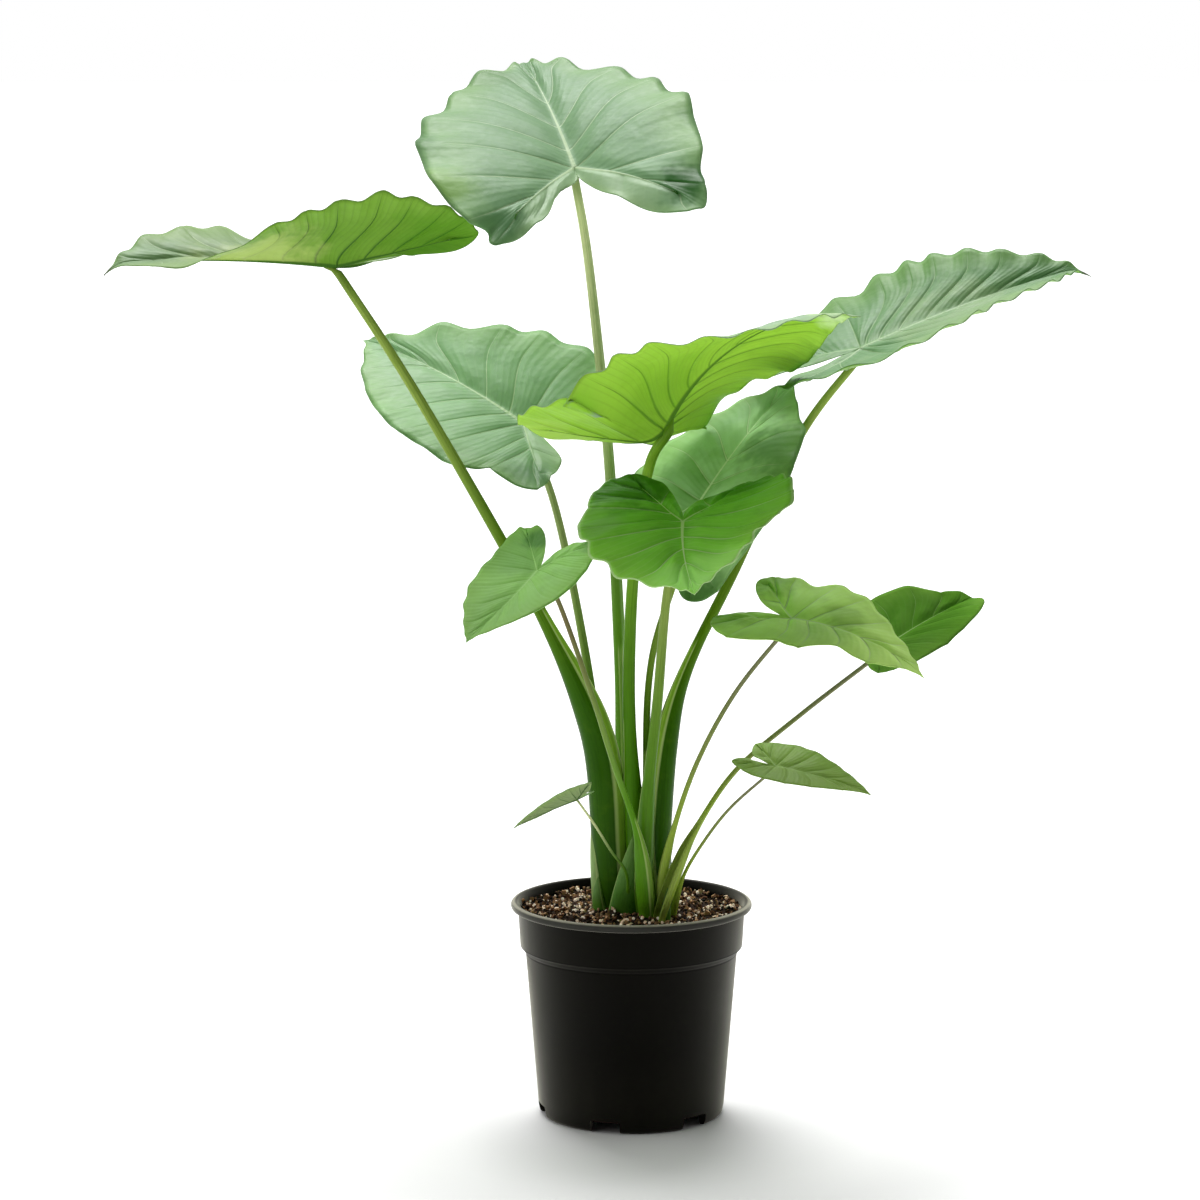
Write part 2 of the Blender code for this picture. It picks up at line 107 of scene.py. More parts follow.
def merge_within(distance):
    return bpy.ops.mesh.remove_doubles, {"threshold": distance}


def in_edit_mode(piece, *steps):
    """Take each step, an operator and its settings, on everything that the piece has."""
    only(piece)
    bpy.ops.object.mode_set(mode="EDIT")
    for operator, settings in steps:
        bpy.ops.mesh.select_all(action="SELECT")
        operator(**settings)
    bpy.ops.object.mode_set(mode="OBJECT")


def settle(piece):
    """Put the piece's place, turn and scale into its mesh, so that its object sits at the origin."""
    only(piece)
    bpy.ops.object.transform_apply(location=True, rotation=True, scale=True)


def apply_all(piece):
    only(piece)
    for modifier in list(piece.modifiers):
        bpy.ops.object.modifier_apply(modifier=modifier.name)


def shade_round(piece):
    only(piece)
    bpy.ops.object.shade_smooth()


def hand_over(piece, node, slot, *finishes):
    """The piece rides on the plant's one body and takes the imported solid's place, if it has one."""
    for finish in finishes:
        piece.data.materials.append(finish)
    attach(piece, "root")
    if node:
        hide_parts(node)


# %% Reading and moving points
def points_of(piece, what="co"):
    """One row for each point: its place, or with "normal" its outward direction."""
    values = np.empty(len(piece.data.vertices) * 3)
    piece.data.vertices.foreach_get(what, values)
    return values.reshape(-1, 3)


def unit_grid(name, columns, rows):
    """A grid primitive, with each point's place across it, 0 to 1, and the number of its row."""
    piece = fresh(bpy.ops.mesh.primitive_grid_add, name, x_subdivisions=columns, y_subdivisions=rows,
                  size=1.0)
    spots = points_of(piece) + 0.5
    return piece, np.clip(spots[:, 0], 0, 1), np.round(spots[:, 1] * rows).astype(int)


def set_points(piece, spots):
    piece.data.vertices.foreach_set("co", np.ascontiguousarray(spots, float).ravel())
    piece.data.update()


def smooth(x):
    """A soft step: 0 below 0, 1 above 1."""
    x = np.clip(x, 0.0, 1.0)
    return x * x * (3.0 - 2.0 * x)


def turned(heading):
    """The level direction at this many degrees, counted from the plant's right."""
    return np.array([math.cos(math.radians(heading)), math.sin(math.radians(heading)), 0.0])


# %% [markdown]
# ## Materials from nodes
#
# A finish is built from a few nodes: noise for blotches, a smooth step for a soft edge, and a mix of two
# colours. These helpers keep each recipe to a few readable lines. Constants are set straight on the
# sockets.


# %% Node helpers
class Nodes:
    """A node tree under construction."""

    def __init__(self, tree):
        self.tree = tree

    def node(self, kind, **settings):
        made = self.tree.nodes.new(kind)
        for key, value in settings.items():
            setattr(made, key, value)
        return made

    def feed(self, socket, value):
        """A link if the value is a socket, otherwise a constant."""
        if isinstance(value, bpy.types.NodeSocket):
            self.tree.links.new(value, socket)
        else:
            is_colour = isinstance(value, tuple) and len(value) == 3
            socket.default_value = (*value, 1.0) if is_colour else value

    def reckon(self, operation, *values, clamp=False):
        made = self.node("ShaderNodeMath", operation=operation, use_clamp=clamp)
        for socket, value in zip(made.inputs, values):
            self.feed(socket, value)
        return made.outputs[0]

    def times(self, first, second):
        return self.reckon("MULTIPLY", first, second)

    def step(self, value, low, high, start=0.0, end=1.0, kind="SMOOTHSTEP"):
        """start below low, end above high, and a smooth change between."""
        made = self.node("ShaderNodeMapRange", interpolation_type=kind)
        for socket, given in zip(made.inputs, (value, low, high, start, end)):
            self.feed(socket, given)
        return made.outputs[0]

    def parts(self, vector):
        split = self.node("ShaderNodeSeparateXYZ")
        self.feed(split.inputs[0], vector)
        return split.outputs


# %% A finish
class Finish(Nodes):
    """One material under construction."""

    def __init__(self, name):
        self.material = bpy.data.materials.new(name)
        self.material.use_nodes = True
        super().__init__(self.material.node_tree)
        self.shader = self.tree.nodes["Principled BSDF"]
        self.place = self.node("ShaderNodeTexCoord").outputs["Object"]

    def noise(self, scale, detail, roughness, vector=None, stretch=None):
        source = self.place if vector is None else vector
        if stretch:
            mapping = self.node("ShaderNodeMapping")
            self.feed(mapping.inputs["Vector"], source)
            mapping.inputs["Scale"].default_value = stretch
            source = mapping.outputs[0]
        made = self.node("ShaderNodeTexNoise")
        for key, value in zip(("Vector", "Scale", "Detail", "Roughness"), (source, scale, detail, roughness)):
            self.feed(made.inputs[key], value)
        return made.outputs["Fac"]

    def mix(self, amount, first, second):
        """Some of the second colour over the first."""
        made = self.node("ShaderNodeMix", data_type="RGBA")
        for number, value in ((0, amount), (6, first), (7, second)):
            self.feed(made.inputs[number], value)
        return made.outputs[2]

    def uv(self, layer):
        """The two numbers of one of the piece's own UV maps."""
        return self.parts(self.node("ShaderNodeUVMap", uv_map=layer).outputs[0])[:2]

    def gap_from(self, place):
        """How far the shaded point is from this place."""
        gap = self.node("ShaderNodeVectorMath", operation="DISTANCE")
        self.feed(gap.inputs[0], self.place)
        gap.inputs[1].default_value = place
        return gap.outputs["Value"]

    def bump(self, height, strength, distance):
        made = self.node("ShaderNodeBump")
        for key, value in zip(("Height", "Strength", "Distance"), (height, strength, distance)):
            self.feed(made.inputs[key], value)
        self.feed(self.shader.inputs["Normal"], made.outputs[0])

    def surface(self, colour, roughness, **others):
        """Feed the shader. An underscore in a name stands for a space."""
        for key, value in {"Base_Color": colour, "Roughness": roughness, **others}.items():
            self.feed(self.shader.inputs[key.replace("_", " ")], value)
        return self.material


def screen(red, green, blue):
    """A colour as a painter reads it off a chart, 0 to 255, turned into the linear values of the nodes."""
    share = [v / 255.0 for v in (red, green, blue)]
    return tuple(v / 12.92 if v <= 0.04045 else ((v + 0.055) / 1.055) ** 2.4 for v in share)


# %% [markdown]
# ## The leaf blade as a formula
#
# An alocasia blade is an arrow-shaped heart. A stout midrib runs to the tip, and a rib runs back into each
# of the two lobes behind the stalk. Side veins leave the ribs and each ends at the margin in a small
# rounded point. To model it by hand would mean pushing thousands of points twelve times. A leaf grows by
# one plan, so here it is laid out flat once, as a formula, and then arched, folded and curled. Only the
# numbers differ from leaf to leaf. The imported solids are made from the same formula. Here the blades get
# finer waves and a few bends that the solids don't have, and three of the stalks are stouter.

# %% Proportions that all blades share
BACK_ROWS = 0.2          # share of the rows on the inner side of a lobe, and again on its outer side
SINUS = 0.05             # depth of the notch's floor behind the stalk
BELLY = 0.05             # where the blade is widest, ahead of the stalk
DRIP_TIP = 0.05          # half width where the drip tip starts
DRIP_START = 0.86        # and how far along the midrib that is
RIB_END = (0.86, 0.82)   # where a lobe's rib ends: out and back, as shares of the lobe's own tip
MIDRIB_CROWDING = 1.12   # above 1, side veins leave the midrib a little closer together near the stalk
HUB_ZONE = 0.12          # how near the stalk the lobes take up their own bend
STATIONS = np.linspace(0.0, 1.0, 101)


def front_share(s):
    """How far a row is along the front: 0 at the widest place, 1 at the tip."""
    return np.clip((s - 2 * BACK_ROWS) / (1 - 2 * BACK_ROWS), 0, 1)


def bezier(start, lead, trail, end, t):
    t = t[..., None]
    ends = (1 - t) ** 3 * np.array(start) + t**3 * np.array(end)
    return ends + 3 * t * (1 - t) ** 2 * np.array(lead) + 3 * t * t * (1 - t) * np.array(trail)


# %% A half blade laid flat
def margin_line(recipe, side, inner, outer, front, is_inner, is_back):
    """Three curves: the sinus out to the lobe's tip, the lobe's flank, and the sweep to the drip tip."""
    width, back = recipe["width"][side], recipe["lobe_back"][side]
    out, shoulder = recipe["lobe_out"][side], recipe["shoulder"]
    lobe_tip, widest = (out, -back), (width, BELLY)
    notch = bezier((0, -SINUS), (0.09 * out, -0.5 * (back + SINUS)), (0.35 * out, -back), lobe_tip, inner)
    flank = bezier(lobe_tip, (out + 0.68 * (width - out), -back), (width, 0.45 * BELLY - 0.55 * back),
                   widest, outer)
    sweep = bezier(widest, (width, BELLY + shoulder * (1 - BELLY)), (DRIP_TIP, DRIP_START), (0, 1), front)
    return np.where(is_inner, notch, np.where(is_back, flank, sweep))


def flat_pattern(recipe, side, t, s):
    """(across, along) of one half blade laid flat, in blade lengths.

    t runs from rib to margin. s runs from the sinus out along the lobe's inner side, back up its outer side
    and forward to the tip, so that each row of constant s follows a side vein.
    """
    inner = np.clip(s / BACK_ROWS, 0, 1)
    outer = np.clip((s - BACK_ROWS) / BACK_ROWS, 0, 1)
    front = front_share(s)
    is_inner = s < BACK_ROWS
    is_back = s < 2 * BACK_ROWS
    margin = margin_line(recipe, side, inner, outer, front, is_inner[..., None], is_back[..., None])

    rib_end = np.array([RIB_END[0] * recipe["lobe_out"][side], -RIB_END[1] * recipe["lobe_back"][side]])
    midrib = np.stack([0 * front, front**MIDRIB_CROWDING], axis=-1)
    rib = np.where(is_back[..., None], np.where(is_inner, inner, 1 - outer)[..., None] * rib_end, midrib)

    lean_across = np.where(is_inner, 0.5, np.where(is_back, 0.5 - 0.15 * outer, 0.35))
    lean_along = np.where(is_inner, 0.5, np.where(is_back, 0.5 + 0.12 * outer, 0.62))
    bow = rib + np.stack([lean_across, lean_along], axis=-1) * (margin - rib)
    t = t[..., None]
    flat = (1 - t) ** 2 * rib + 2 * t * (1 - t) * bow + t * t * margin
    return flat[..., 0], flat[..., 1] - recipe["blunt"] * np.clip((flat[..., 1] - 0.8) / 0.2, 0, 1) ** 2


# %% Bending the flat pattern
def turning_curve(turn, distance):
    """How far a line gets, and its direction there, when it turns as it goes. turn is given at STATIONS."""
    middle = (turn[1:] + turn[:-1]) / 2
    forward = np.concatenate([[0], np.cumsum(np.cos(middle))]) / (len(STATIONS) - 1)
    sideways = np.concatenate([[0], np.cumsum(np.sin(middle))]) / (len(STATIONS) - 1)
    return [np.interp(distance, STATIONS, values) for values in (forward, sideways, turn)]


def blade_frame(recipe):
    """Forward, right and up directions of the blade where it joins the stalk."""
    heading, rise, roll = (math.radians(recipe[key]) for key in ("heading", "rise", "roll"))
    forward = np.array([math.cos(heading) * math.cos(rise), math.sin(heading) * math.cos(rise),
                        math.sin(rise)])
    level = np.array([math.sin(heading), -math.cos(heading), 0.0])
    right = level * math.cos(roll) + np.cross(level, forward) * math.sin(roll)
    return forward, right, np.cross(right, forward)


def lobe_bend(lift, droop, along):
    """A lobe first lifts, close to the stalk, and then droops evenly along its length."""
    turn = math.radians(droop) * STATIONS / 0.4 - math.radians(lift) * smooth(STATIONS / HUB_ZONE)
    ahead, down, angle = turning_curve(turn, -along)
    return np.stack([-ahead, -down, -angle])


def blade_points(recipe, side, t, s):
    """The place of each point of one half blade, before its veins and ruffles."""
    across, along = flat_pattern(recipe, side, t, s)
    ahead, down, angle = turning_curve(math.radians(recipe["arch"]) * STATIONS, along)
    own = lobe_bend(recipe["lift"][side], recipe["droop"][side], along)
    shared = lobe_bend(np.mean(recipe["lift"]), np.mean(recipe["droop"]), along)
    behind = shared + (own - shared) * smooth(across / HUB_ZONE)
    reach, height, angle = np.where(along < 0, behind, np.stack([ahead, -down, angle]))

    fold, tip_fold = recipe["fold"][side], recipe["tip_fold"][side]
    slope = np.radians(fold + (tip_fold - fold) * smooth(along / 0.8))
    curl = math.radians(recipe["curl"][side] or 0.01) / recipe["width"][side]
    outward = (1, -1)[side] * (np.sin(slope + curl * across) - np.sin(slope)) / curl
    raised = -(np.cos(slope + curl * across) - np.cos(slope)) / curl
    twist = math.radians(recipe["twist"]) * np.clip(along, -0.6, 1)
    sideways = outward * np.cos(twist) - raised * np.sin(twist)
    raised = outward * np.sin(twist) + raised * np.cos(twist)
    sideways = sideways + 0.5 * math.sin(math.radians(recipe["bend"])) * np.clip(along, 0, 1) ** 2

    forward, right, up = blade_frame(recipe)
    drop = recipe["tip_drop"] * np.clip((along - 0.9) / 0.1, 0, 1.2) ** 2
    local_up = np.cos(angle)[..., None] * up + np.sin(angle)[..., None] * forward
    place = reach[..., None] * forward + (height - drop)[..., None] * up
    place = place + sideways[..., None] * right + raised[..., None] * local_up
    return np.array(recipe["hub"]) + recipe["length"] * place


# %% [markdown]
# ## The twelve recipes
#
# Each leaf says where its blade meets the stalk (the hub), where the blade points, how long it is, and
# which way its stalk runs up from the clump. The rest bends the common plan. A pair holds the values of the
# blade's two halves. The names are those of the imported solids.

# %% Leaf recipes
COMMON_SHAPE = {
    "width": (0.52, 0.52), "lobe_back": (0.41, 0.41), "lobe_out": (0.30, 0.30), "shoulder": 0.46,
    "arch": 10, "lift": (3, 3), "droop": (3, 3), "fold": (10, 10), "tip_fold": (6, 6),
    "curl": (-12, -12), "twist": 2, "bend": 0, "roll": 0, "tip_drop": 0.012,
    "ruffle": 0.013, "quilt": 0.018, "veins": (2, 3, 5), "lobe_drop": (0, 0), "rake": 1.2,
    "blunt": 0,
}


def leaf(name, hub, heading, rise, length, route, radii, **shape):
    """The recipe of one leaf: its blade's place and shape, and its stalk's route and radii."""
    recipe = dict(COMMON_SHAPE, name=name, hub=hub, heading=heading, rise=rise, length=length)
    recipe.update(route=route, radii=radii, **shape)
    return recipe


LEAVES = [
    leaf("top", (-0.064, 0.075, 1.060), 102, 28, 0.335,
         [(0.000, 0.034), (-0.010, 0.066, 0.460), (-0.024, 0.106, 0.717), (-0.047, 0.092, 0.946)],
         (0.0086, 0.0048), roll=1, width=(0.45, 0.53), lobe_back=(0.40, 0.41), lobe_out=(0.34, 0.31),
         quilt=0.010, arch=14, lift=(6, 3), droop=(17, 17), lobe_drop=(0.01, 0.055), fold=(33, 16),
         tip_fold=(14, 12), curl=(-22, -21), twist=10),
    leaf("left", (-0.326, 0.020, 0.956), 188, 6, 0.256,
         [(-0.020, 0.010), (-0.023, 0.011, 0.300), (-0.037, 0.012, 0.430), (-0.101, 0.014, 0.568),
          (-0.235, 0.018, 0.806)],
         (0.0095, 0.0050), roll=-3, width=(0.53, 0.53), lobe_back=(0.55, 0.55), lobe_out=(0.30, 0.29),
         veins=(2, 4, 6), arch=11, lift=(15, 5), droop=(-14, 6), lobe_drop=(-0.07, 0), fold=(5, 31),
         tip_fold=(24, -3), curl=(-12, -1), twist=9, tip_drop=0.050),
    leaf("right", (0.257, 0.070, 0.859), 9, 24, 0.278,
         [(0.035, -0.009), (0.028, -0.006, 0.330), (0.049, 0.007, 0.472), (0.116, 0.035, 0.614),
          (0.190, 0.055, 0.764)],
         (0.0085, 0.0045), roll=-6, width=(0.52, 0.53), lobe_back=(0.42, 0.42), veins=(2, 3, 8), rake=1.6,
         quilt=0.011, arch=10, lift=(9, -1), droop=(2, 1), fold=(-4, 12), tip_fold=(4, 31), curl=(22, -10),
         twist=-4, bend=-1, tip_drop=0.050),
    leaf("bright", (0.034, -0.045, 0.779), -11, 65, 0.280,
         [(0.008, 0.010), (0.000, 0.004, 0.390), (-0.003, 0.004, 0.498), (0.003, -0.004, 0.628),
          (0.019, -0.024, 0.736)],
         (0.0086, 0.0056), roll=18, width=(0.59, 0.58), lobe_back=(0.48, 0.46), lobe_out=(0.30, 0.27),
         shoulder=0.43, veins=(2, 4, 8), rake=1.5, quilt=0.012, arch=72, lift=(60, 62), droop=(0, -8),
         fold=(13, 10), tip_fold=(-12, -29), curl=(0, 0), twist=-3, bend=2),
    leaf("back_left", (-0.123, 0.160, 0.766), 142, 26, 0.272,
         [(-0.024, 0.035), (-0.031, 0.055, 0.350), (-0.050, 0.082, 0.500), (-0.086, 0.125, 0.672)],
         (0.0060, 0.0040), roll=22, width=(0.48, 0.56), lobe_back=(0.31, 0.41), lobe_out=(0.31, 0.31),
         shoulder=0.54, veins=(2, 4, 6), ruffle=0.009, quilt=0.010, arch=16, lift=(12, 9), droop=(9, 14),
         fold=(11, 13), tip_fold=(5, 14), curl=(-9, -3), twist=14),
    leaf("dark", (0.077, 0.020, 0.693), 42, 47, 0.202,
         [(0.027, 0.013), (0.017, 0.013, 0.400), (0.022, 0.013, 0.512), (0.047, 0.014, 0.600)],
         (0.0050, 0.0035), roll=-5, lobe_back=(0.60, 0.42), lobe_out=(0.29, 0.30), arch=17, lift=(-2, -1),
         droop=(9, 11), fold=(9, 5), tip_fold=(5, 8), curl=(-13, -15), bend=-4),
    leaf("front", (0.054, -0.130, 0.687), 267, -12, 0.222,
         [(0.012, -0.018), (0.017, -0.039, 0.362), (0.028, -0.068, 0.481), (0.038, -0.105, 0.608)],
         (0.0076, 0.0044), roll=-6, width=(0.51, 0.56), lobe_back=(0.46, 0.41), lobe_out=(0.26, 0.31),
         shoulder=0.44, blunt=0.035, veins=(2, 4, 6), ruffle=0.015, quilt=0.028, arch=4, lift=(8, -3),
         droop=(-7, 5), fold=(10, 6), tip_fold=(-10, 11), curl=(-15, 12), bend=-10),
    leaf("low_left", (-0.104, -0.080, 0.627), 238, -28, 0.153,
         [(0.018, -0.042), (0.008, -0.050, 0.323), (-0.022, -0.055, 0.415), (-0.045, -0.064, 0.490),
          (-0.082, -0.077, 0.596)],
         (0.0042, 0.0027), width=(0.42, 0.40), lobe_back=(0.43, 0.38), lobe_out=(0.31, 0.27),
         shoulder=0.49, veins=(3, 4, 5), ruffle=0.006, quilt=0.009, arch=-10, lift=(6, 4), droop=(-2, 3),
         fold=(11, 8), tip_fold=(12, 6), curl=(-10, -15)),
    leaf("low_right", (0.175, -0.080, 0.574), 327, -1, 0.171,
         [(0.035, -0.042), (0.034, -0.043, 0.275), (0.046, -0.049, 0.333), (0.073, -0.058, 0.413),
          (0.115, -0.069, 0.493)],
         (0.0035, 0.0024), roll=-7, lobe_out=(0.29, 0.31), ruffle=0.012, quilt=0.028, arch=33,
         lift=(4, 13), droop=(0, 0), fold=(6, 17), tip_fold=(3, -1), curl=(-15, -14)),
    leaf("far_right", (0.283, 0.000, 0.531), 41, 22, 0.159,
         [(0.031, -0.055), (0.049, -0.054, 0.288), (0.070, -0.045, 0.331), (0.116, -0.027, 0.396),
          (0.188, -0.012, 0.456)],
         (0.0035, 0.0024), roll=-5, lobe_back=(0.39, 0.41), shoulder=0.52, blunt=0.070, ruffle=0.006,
         arch=11, lift=(2, 37), droop=(2, -2), fold=(12, 8), tip_fold=(9, 36), curl=(-10, -14),
         tip_drop=0.055),
    leaf("small_right", (0.157, -0.095, 0.413), 332, -5, 0.118,
         [(0.047, -0.032), (0.056, -0.041, 0.275), (0.075, -0.056, 0.314), (0.108, -0.073, 0.362)],
         (0.0022, 0.0016), roll=-7, width=(0.38, 0.37), lobe_back=(0.32, 0.35), ruffle=0.006, arch=9,
         lift=(16, 0), droop=(0, 5), fold=(6, 17), tip_fold=(2, 6), curl=(-12, -1), twist=-4, bend=4),
    leaf("small_left", (-0.061, -0.080, 0.374), 187, -20, 0.077,
         [(-0.004, -0.014), (-0.006, -0.033, 0.280), (-0.023, -0.049, 0.309), (-0.042, -0.065, 0.343)],
         (0.0019, 0.0013), roll=-28, width=(0.30, 0.31), lobe_back=(0.28, 0.26), ruffle=0.006, arch=7,
         lift=(1, -1), droop=(4, 5), fold=(17, 17), tip_fold=(8, 11), curl=(0, 0), twist=-4),
]
print("leaves:", [recipe["name"] for recipe in LEAVES])

# %% [markdown]
# ## Where the veins end
#
# Each vein pulls the margin out into a point, and the margin sags between two points. On a grown leaf no two
# points are alike. The table gives the large blades their own: for each half, from the sinus round the lobe
# to the tip, the place along the margin where a vein ends, how far the margin stands out there, and how deep
# it sags behind that point. All three are in hundredths. A first row at place 0 gives the sinus its own sag.
# A leaf without a table gets nearly even points, moved a little at random.

# %% Margin points
PLAIN_SINUS, TIP = (0, 100, 2), (100, 100, 0)
MARGINS = {
    "top": (
        ((0, 100, 3), (10, 82, 4), (19, 121, 2), (27, 94, 5), (34, 96, 1), (46, 102, 4), (57, 101, 3),
         (68, 105, 13), (83, 108, 6), (93, 99, 4)),
        ((0, 100, 52), (16, 88, 6), (21, 130, 27), (26, 105, 2), (34, 103, 2), (42, 100, 2), (53, 99, 5),
         (66, 98, 4), (81, 118, 8), (92, 98, 5)),
    ),
    "left": (
        ((10, 100, 2), (20, 100, 2), (25, 100, 3), (30, 101, 3), (35, 100, 3), (41, 100, 3), (50, 105, 3),
         (60, 113, 4), (70, 109, 6), (81, 126, 6), (91, 120, 5)),
        ((10, 66, 3), (20, 112, 4), (25, 101, 2), (29, 105, 2), (33, 107, 2), (36, 111, 4), (40, 97, 3),
         (46, 93, 2), (52, 98, 3), (65, 104, 4), (80, 112, 5)),
    ),
    "right": (
        ((10, 92, 3), (20, 100, 3), (27, 101, 3), (34, 100, 4), (41, 104, 8), (50, 101, 4), (57, 104, 5),
         (63, 97, 3), (71, 105, 8), (79, 112, 4), (86, 114, 5), (93, 104, 3)),
        ((10, 100, 2), (20, 100, 2), (27, 102, 3), (34, 103, 3), (41, 109, 9), (50, 104, 3), (56, 103, 3),
         (61, 101, 3), (68, 101, 2), (75, 101, 4), (84, 108, 4), (92, 110, 4)),
    ),
    "bright": (
        ((10, 100, 2), (20, 108, 2), (25, 102, 1), (30, 103, 1), (35, 106, 0), (43, 103, 5), (49, 104, 4),
         (55, 110, 10), (64, 108, 5), (72, 106, 3), (80, 104, 3), (88, 102, 2), (94, 100, 2)),
        ((10, 98, 2), (20, 100, 2), (25, 101, 2), (30, 101, 2), (35, 100, 2), (43, 102, 2), (50, 101, 2),
         (57, 101, 2), (65, 102, 2), (73, 102, 2), (80, 103, 2), (87, 102, 2), (94, 101, 2)),
    ),
    "back_left": (
        ((10, 96, 2), (20, 100, 2), (25, 101, 3), (30, 102, 3), (35, 105, 3), (43, 107, 4), (52, 106, 4),
         (60, 104, 9), (74, 109, 15), (88, 97, 4), (94, 99, 3)),
        ((10, 106, 3), (18, 80, 1), (22, 138, 10), (31, 88, 2), (34, 106, 2), (40, 98, 2), (47, 98, 1),
         (55, 98, 1), (65, 100, 2), (76, 105, 3), (88, 107, 3)),
    ),
    "dark": (
        ((10, 100, 2), (20, 104, 3), (27, 110, 6), (34, 105, 4), (42, 112, 5), (53, 104, 3), (66, 114, 5),
         (79, 108, 3), (90, 106, 2)),
        ((10, 100, 2), (20, 100, 2), (27, 102, 2), (34, 105, 1), (43, 113, 1), (53, 110, 2), (64, 105, 3),
         (77, 102, 2), (89, 102, 2)),
    ),
    "front": (
        ((10, 100, 2), (20, 101, -3), (25, 102, -1), (30, 101, -2), (34, 96, -3), (41, 100, -2),
         (48, 95, -6), (59, 94, -7), (72, 98, -6), (85, 100, -1), (94, 98, 0)),
        ((10, 100, 3), (20, 103, 3), (25, 106, 3), (30, 104, 3), (35, 103, 2), (42, 102, -2), (55, 102, 2),
         (62, 91, -3), (71, 100, -4), (82, 102, -1), (91, 100, 0)),
    ),
    "low_left": (
        ((7, 92, 1), (17, 126, 4), (20, 66, 2), (24, 102, 1), (30, 100, 1), (35, 99, 1), (40, 100, 2),
         (53, 101, 3), (66, 102, 4), (80, 106, 3), (91, 114, 3)),
        ((7, 98, 1), (14, 90, 1), (20, 66, 2), (26, 85, 1), (32, 100, 2), (37, 100, 2), (43, 100, 2),
         (54, 100, 2), (66, 100, 3), (78, 100, 2), (90, 100, 2)),
    ),
    "low_right": (
        ((10, 100, 2), (20, 99, 2), (26, 100, 1), (34, 108, 4), (45, 96, 1), (53, 105, 6), (63, 84, 2),
         (74, 124, 2), (86, 122, 3)),
        ((10, 100, 2), (18, 115, 3), (25, 86, 2), (31, 98, 12), (40, 104, 4), (50, 105, 4), (62, 102, 5),
         (76, 102, 5), (89, 102, 3)),
    ),
    "far_right": (
        ((10, 92, 2), (20, 72, 1), (27, 80, 1), (34, 91, 1), (43, 98, 2), (54, 97, 2), (66, 104, 1),
         (78, 120, 1), (90, 150, 1)),
        ((10, 100, 2), (20, 100, 2), (27, 100, 2), (34, 100, 2), (43, 100, 2), (54, 100, 1), (66, 102, 1),
         (77, 80, 1), (88, 106, 1)),
    ),
}


def even_points(veins):
    """Where veins would end if they were spread evenly over their section of the margin."""
    inner, outer, front = veins
    return np.concatenate([np.arange(inner) / inner * BACK_ROWS, BACK_ROWS * (1 + np.arange(outer) / outer),
                           2 * BACK_ROWS + (1 - 2 * BACK_ROWS) * np.arange(front + 1) / front])


def random_points(recipe, side):
    chance = random.Random(f"{recipe['name']} {side}")
    even = even_points(recipe["veins"])
    gaps = np.minimum(np.diff(even)[:-1], np.diff(even)[1:])
    rows = []
    for place, gap in zip(even[1:-1], gaps):
        place = 100 * (place + chance.uniform(-0.18, 0.18) * gap)
        rows.append((place, chance.uniform(99, 101.5), chance.uniform(1, 3)))
    return rows


def margin_points(recipe, side):
    """Place, reach and sag of each vein's end, with the sinus and the tip at the two ends of the list."""
    own = MARGINS.get(recipe["name"])
    rows = own[side] if own else random_points(recipe, side)
    sinus = [] if rows[0][0] == 0 else [PLAIN_SINUS]
    return np.array([*sinus, *rows, TIP]).T / 100


def margin_shape(recipe, side, vein):
    """(how far the margin stands out, a wave from 1 at a vein to -1 halfway between two)."""
    _, reach, sag = margin_points(recipe, side)
    swing = np.abs(np.sin(np.pi * vein)) ** 1.8
    own_sag = sag[np.minimum(vein.astype(int), len(sag) - 1)]
    return np.interp(vein, np.arange(len(reach)), reach) - own_sag * swing, 1 - 2 * swing


# %% [markdown]
# ## From flat grid to blade
#
# Each half blade starts as Blender's grid primitive. Its columns crowd towards the rib and its rows crowd
# towards each side vein, because that is where the surface bends most. The formula puts each point in
# place, the two halves are merged along their ribs, and Solidify gives the sheet its thickness. The relief
# is real geometry: the sheet swells between veins, waves at the margin, and on the underside the ribs and
# veins stand proud as ridges.

# %% Rows and columns of a half blade
ROW_OFFSETS = (0.0, 0.035, 0.08, 0.16, 0.27, 0.40, 0.5, 0.60, 0.73, 0.84, 0.92, 0.965)   # in a vein's share
COLUMNS = 24
COLUMN_CROWDING = 1.45   # above 1, columns crowd towards the rib
STRAIGHTEN = 0.75        # by this share of its length a vein has left the evenly spaced pattern of the rib


def row_position(row, veins):
    """Where a row falls in its section of the margin, 0 to 1, crowding towards the veins."""
    whole, rest = np.divmod(row, len(ROW_OFFSETS))
    return (whole + np.array(ROW_OFFSETS)[rest]) / veins


def row_count(recipe):
    return len(ROW_OFFSETS) * (2 * recipe["veins"][1] + recipe["veins"][2])


def rows_to_s(recipe, row):
    """(s, vein number) of each row. A lobe's two sides have as many rows, so that they meet on its rib."""
    inner_veins, outer_veins, front_veins = recipe["veins"]
    back = len(ROW_OFFSETS) * outer_veins
    inner = row_position(np.minimum(row, back), outer_veins)
    outer = row_position(np.clip(row - back, 0, back), outer_veins)
    front = row_position(np.clip(row - 2 * back, 0, None), front_veins)
    s = BACK_ROWS * (inner + outer) + (1 - 2 * BACK_ROWS) * front
    return s, inner_veins * inner + outer_veins * outer + front_veins * front


def root_position(recipe, even_s):
    """Where a row leaves the rib. With a rake above 1 the rows of the front leave it earlier and slant."""
    front = front_share(even_s)
    return np.where(front > 0, 2 * BACK_ROWS + (1 - 2 * BACK_ROWS) * front ** recipe["rake"], even_s)


def lean_to_points(recipe, side, root_s, vein, t):
    """Near the rib the rows are even. Further out they lean, so that each vein ends at its own point."""
    places = margin_points(recipe, side)[0]
    own = np.interp(vein, np.arange(len(places)), places)
    return root_s + (own - root_s) * smooth(t / STRAIGHTEN)


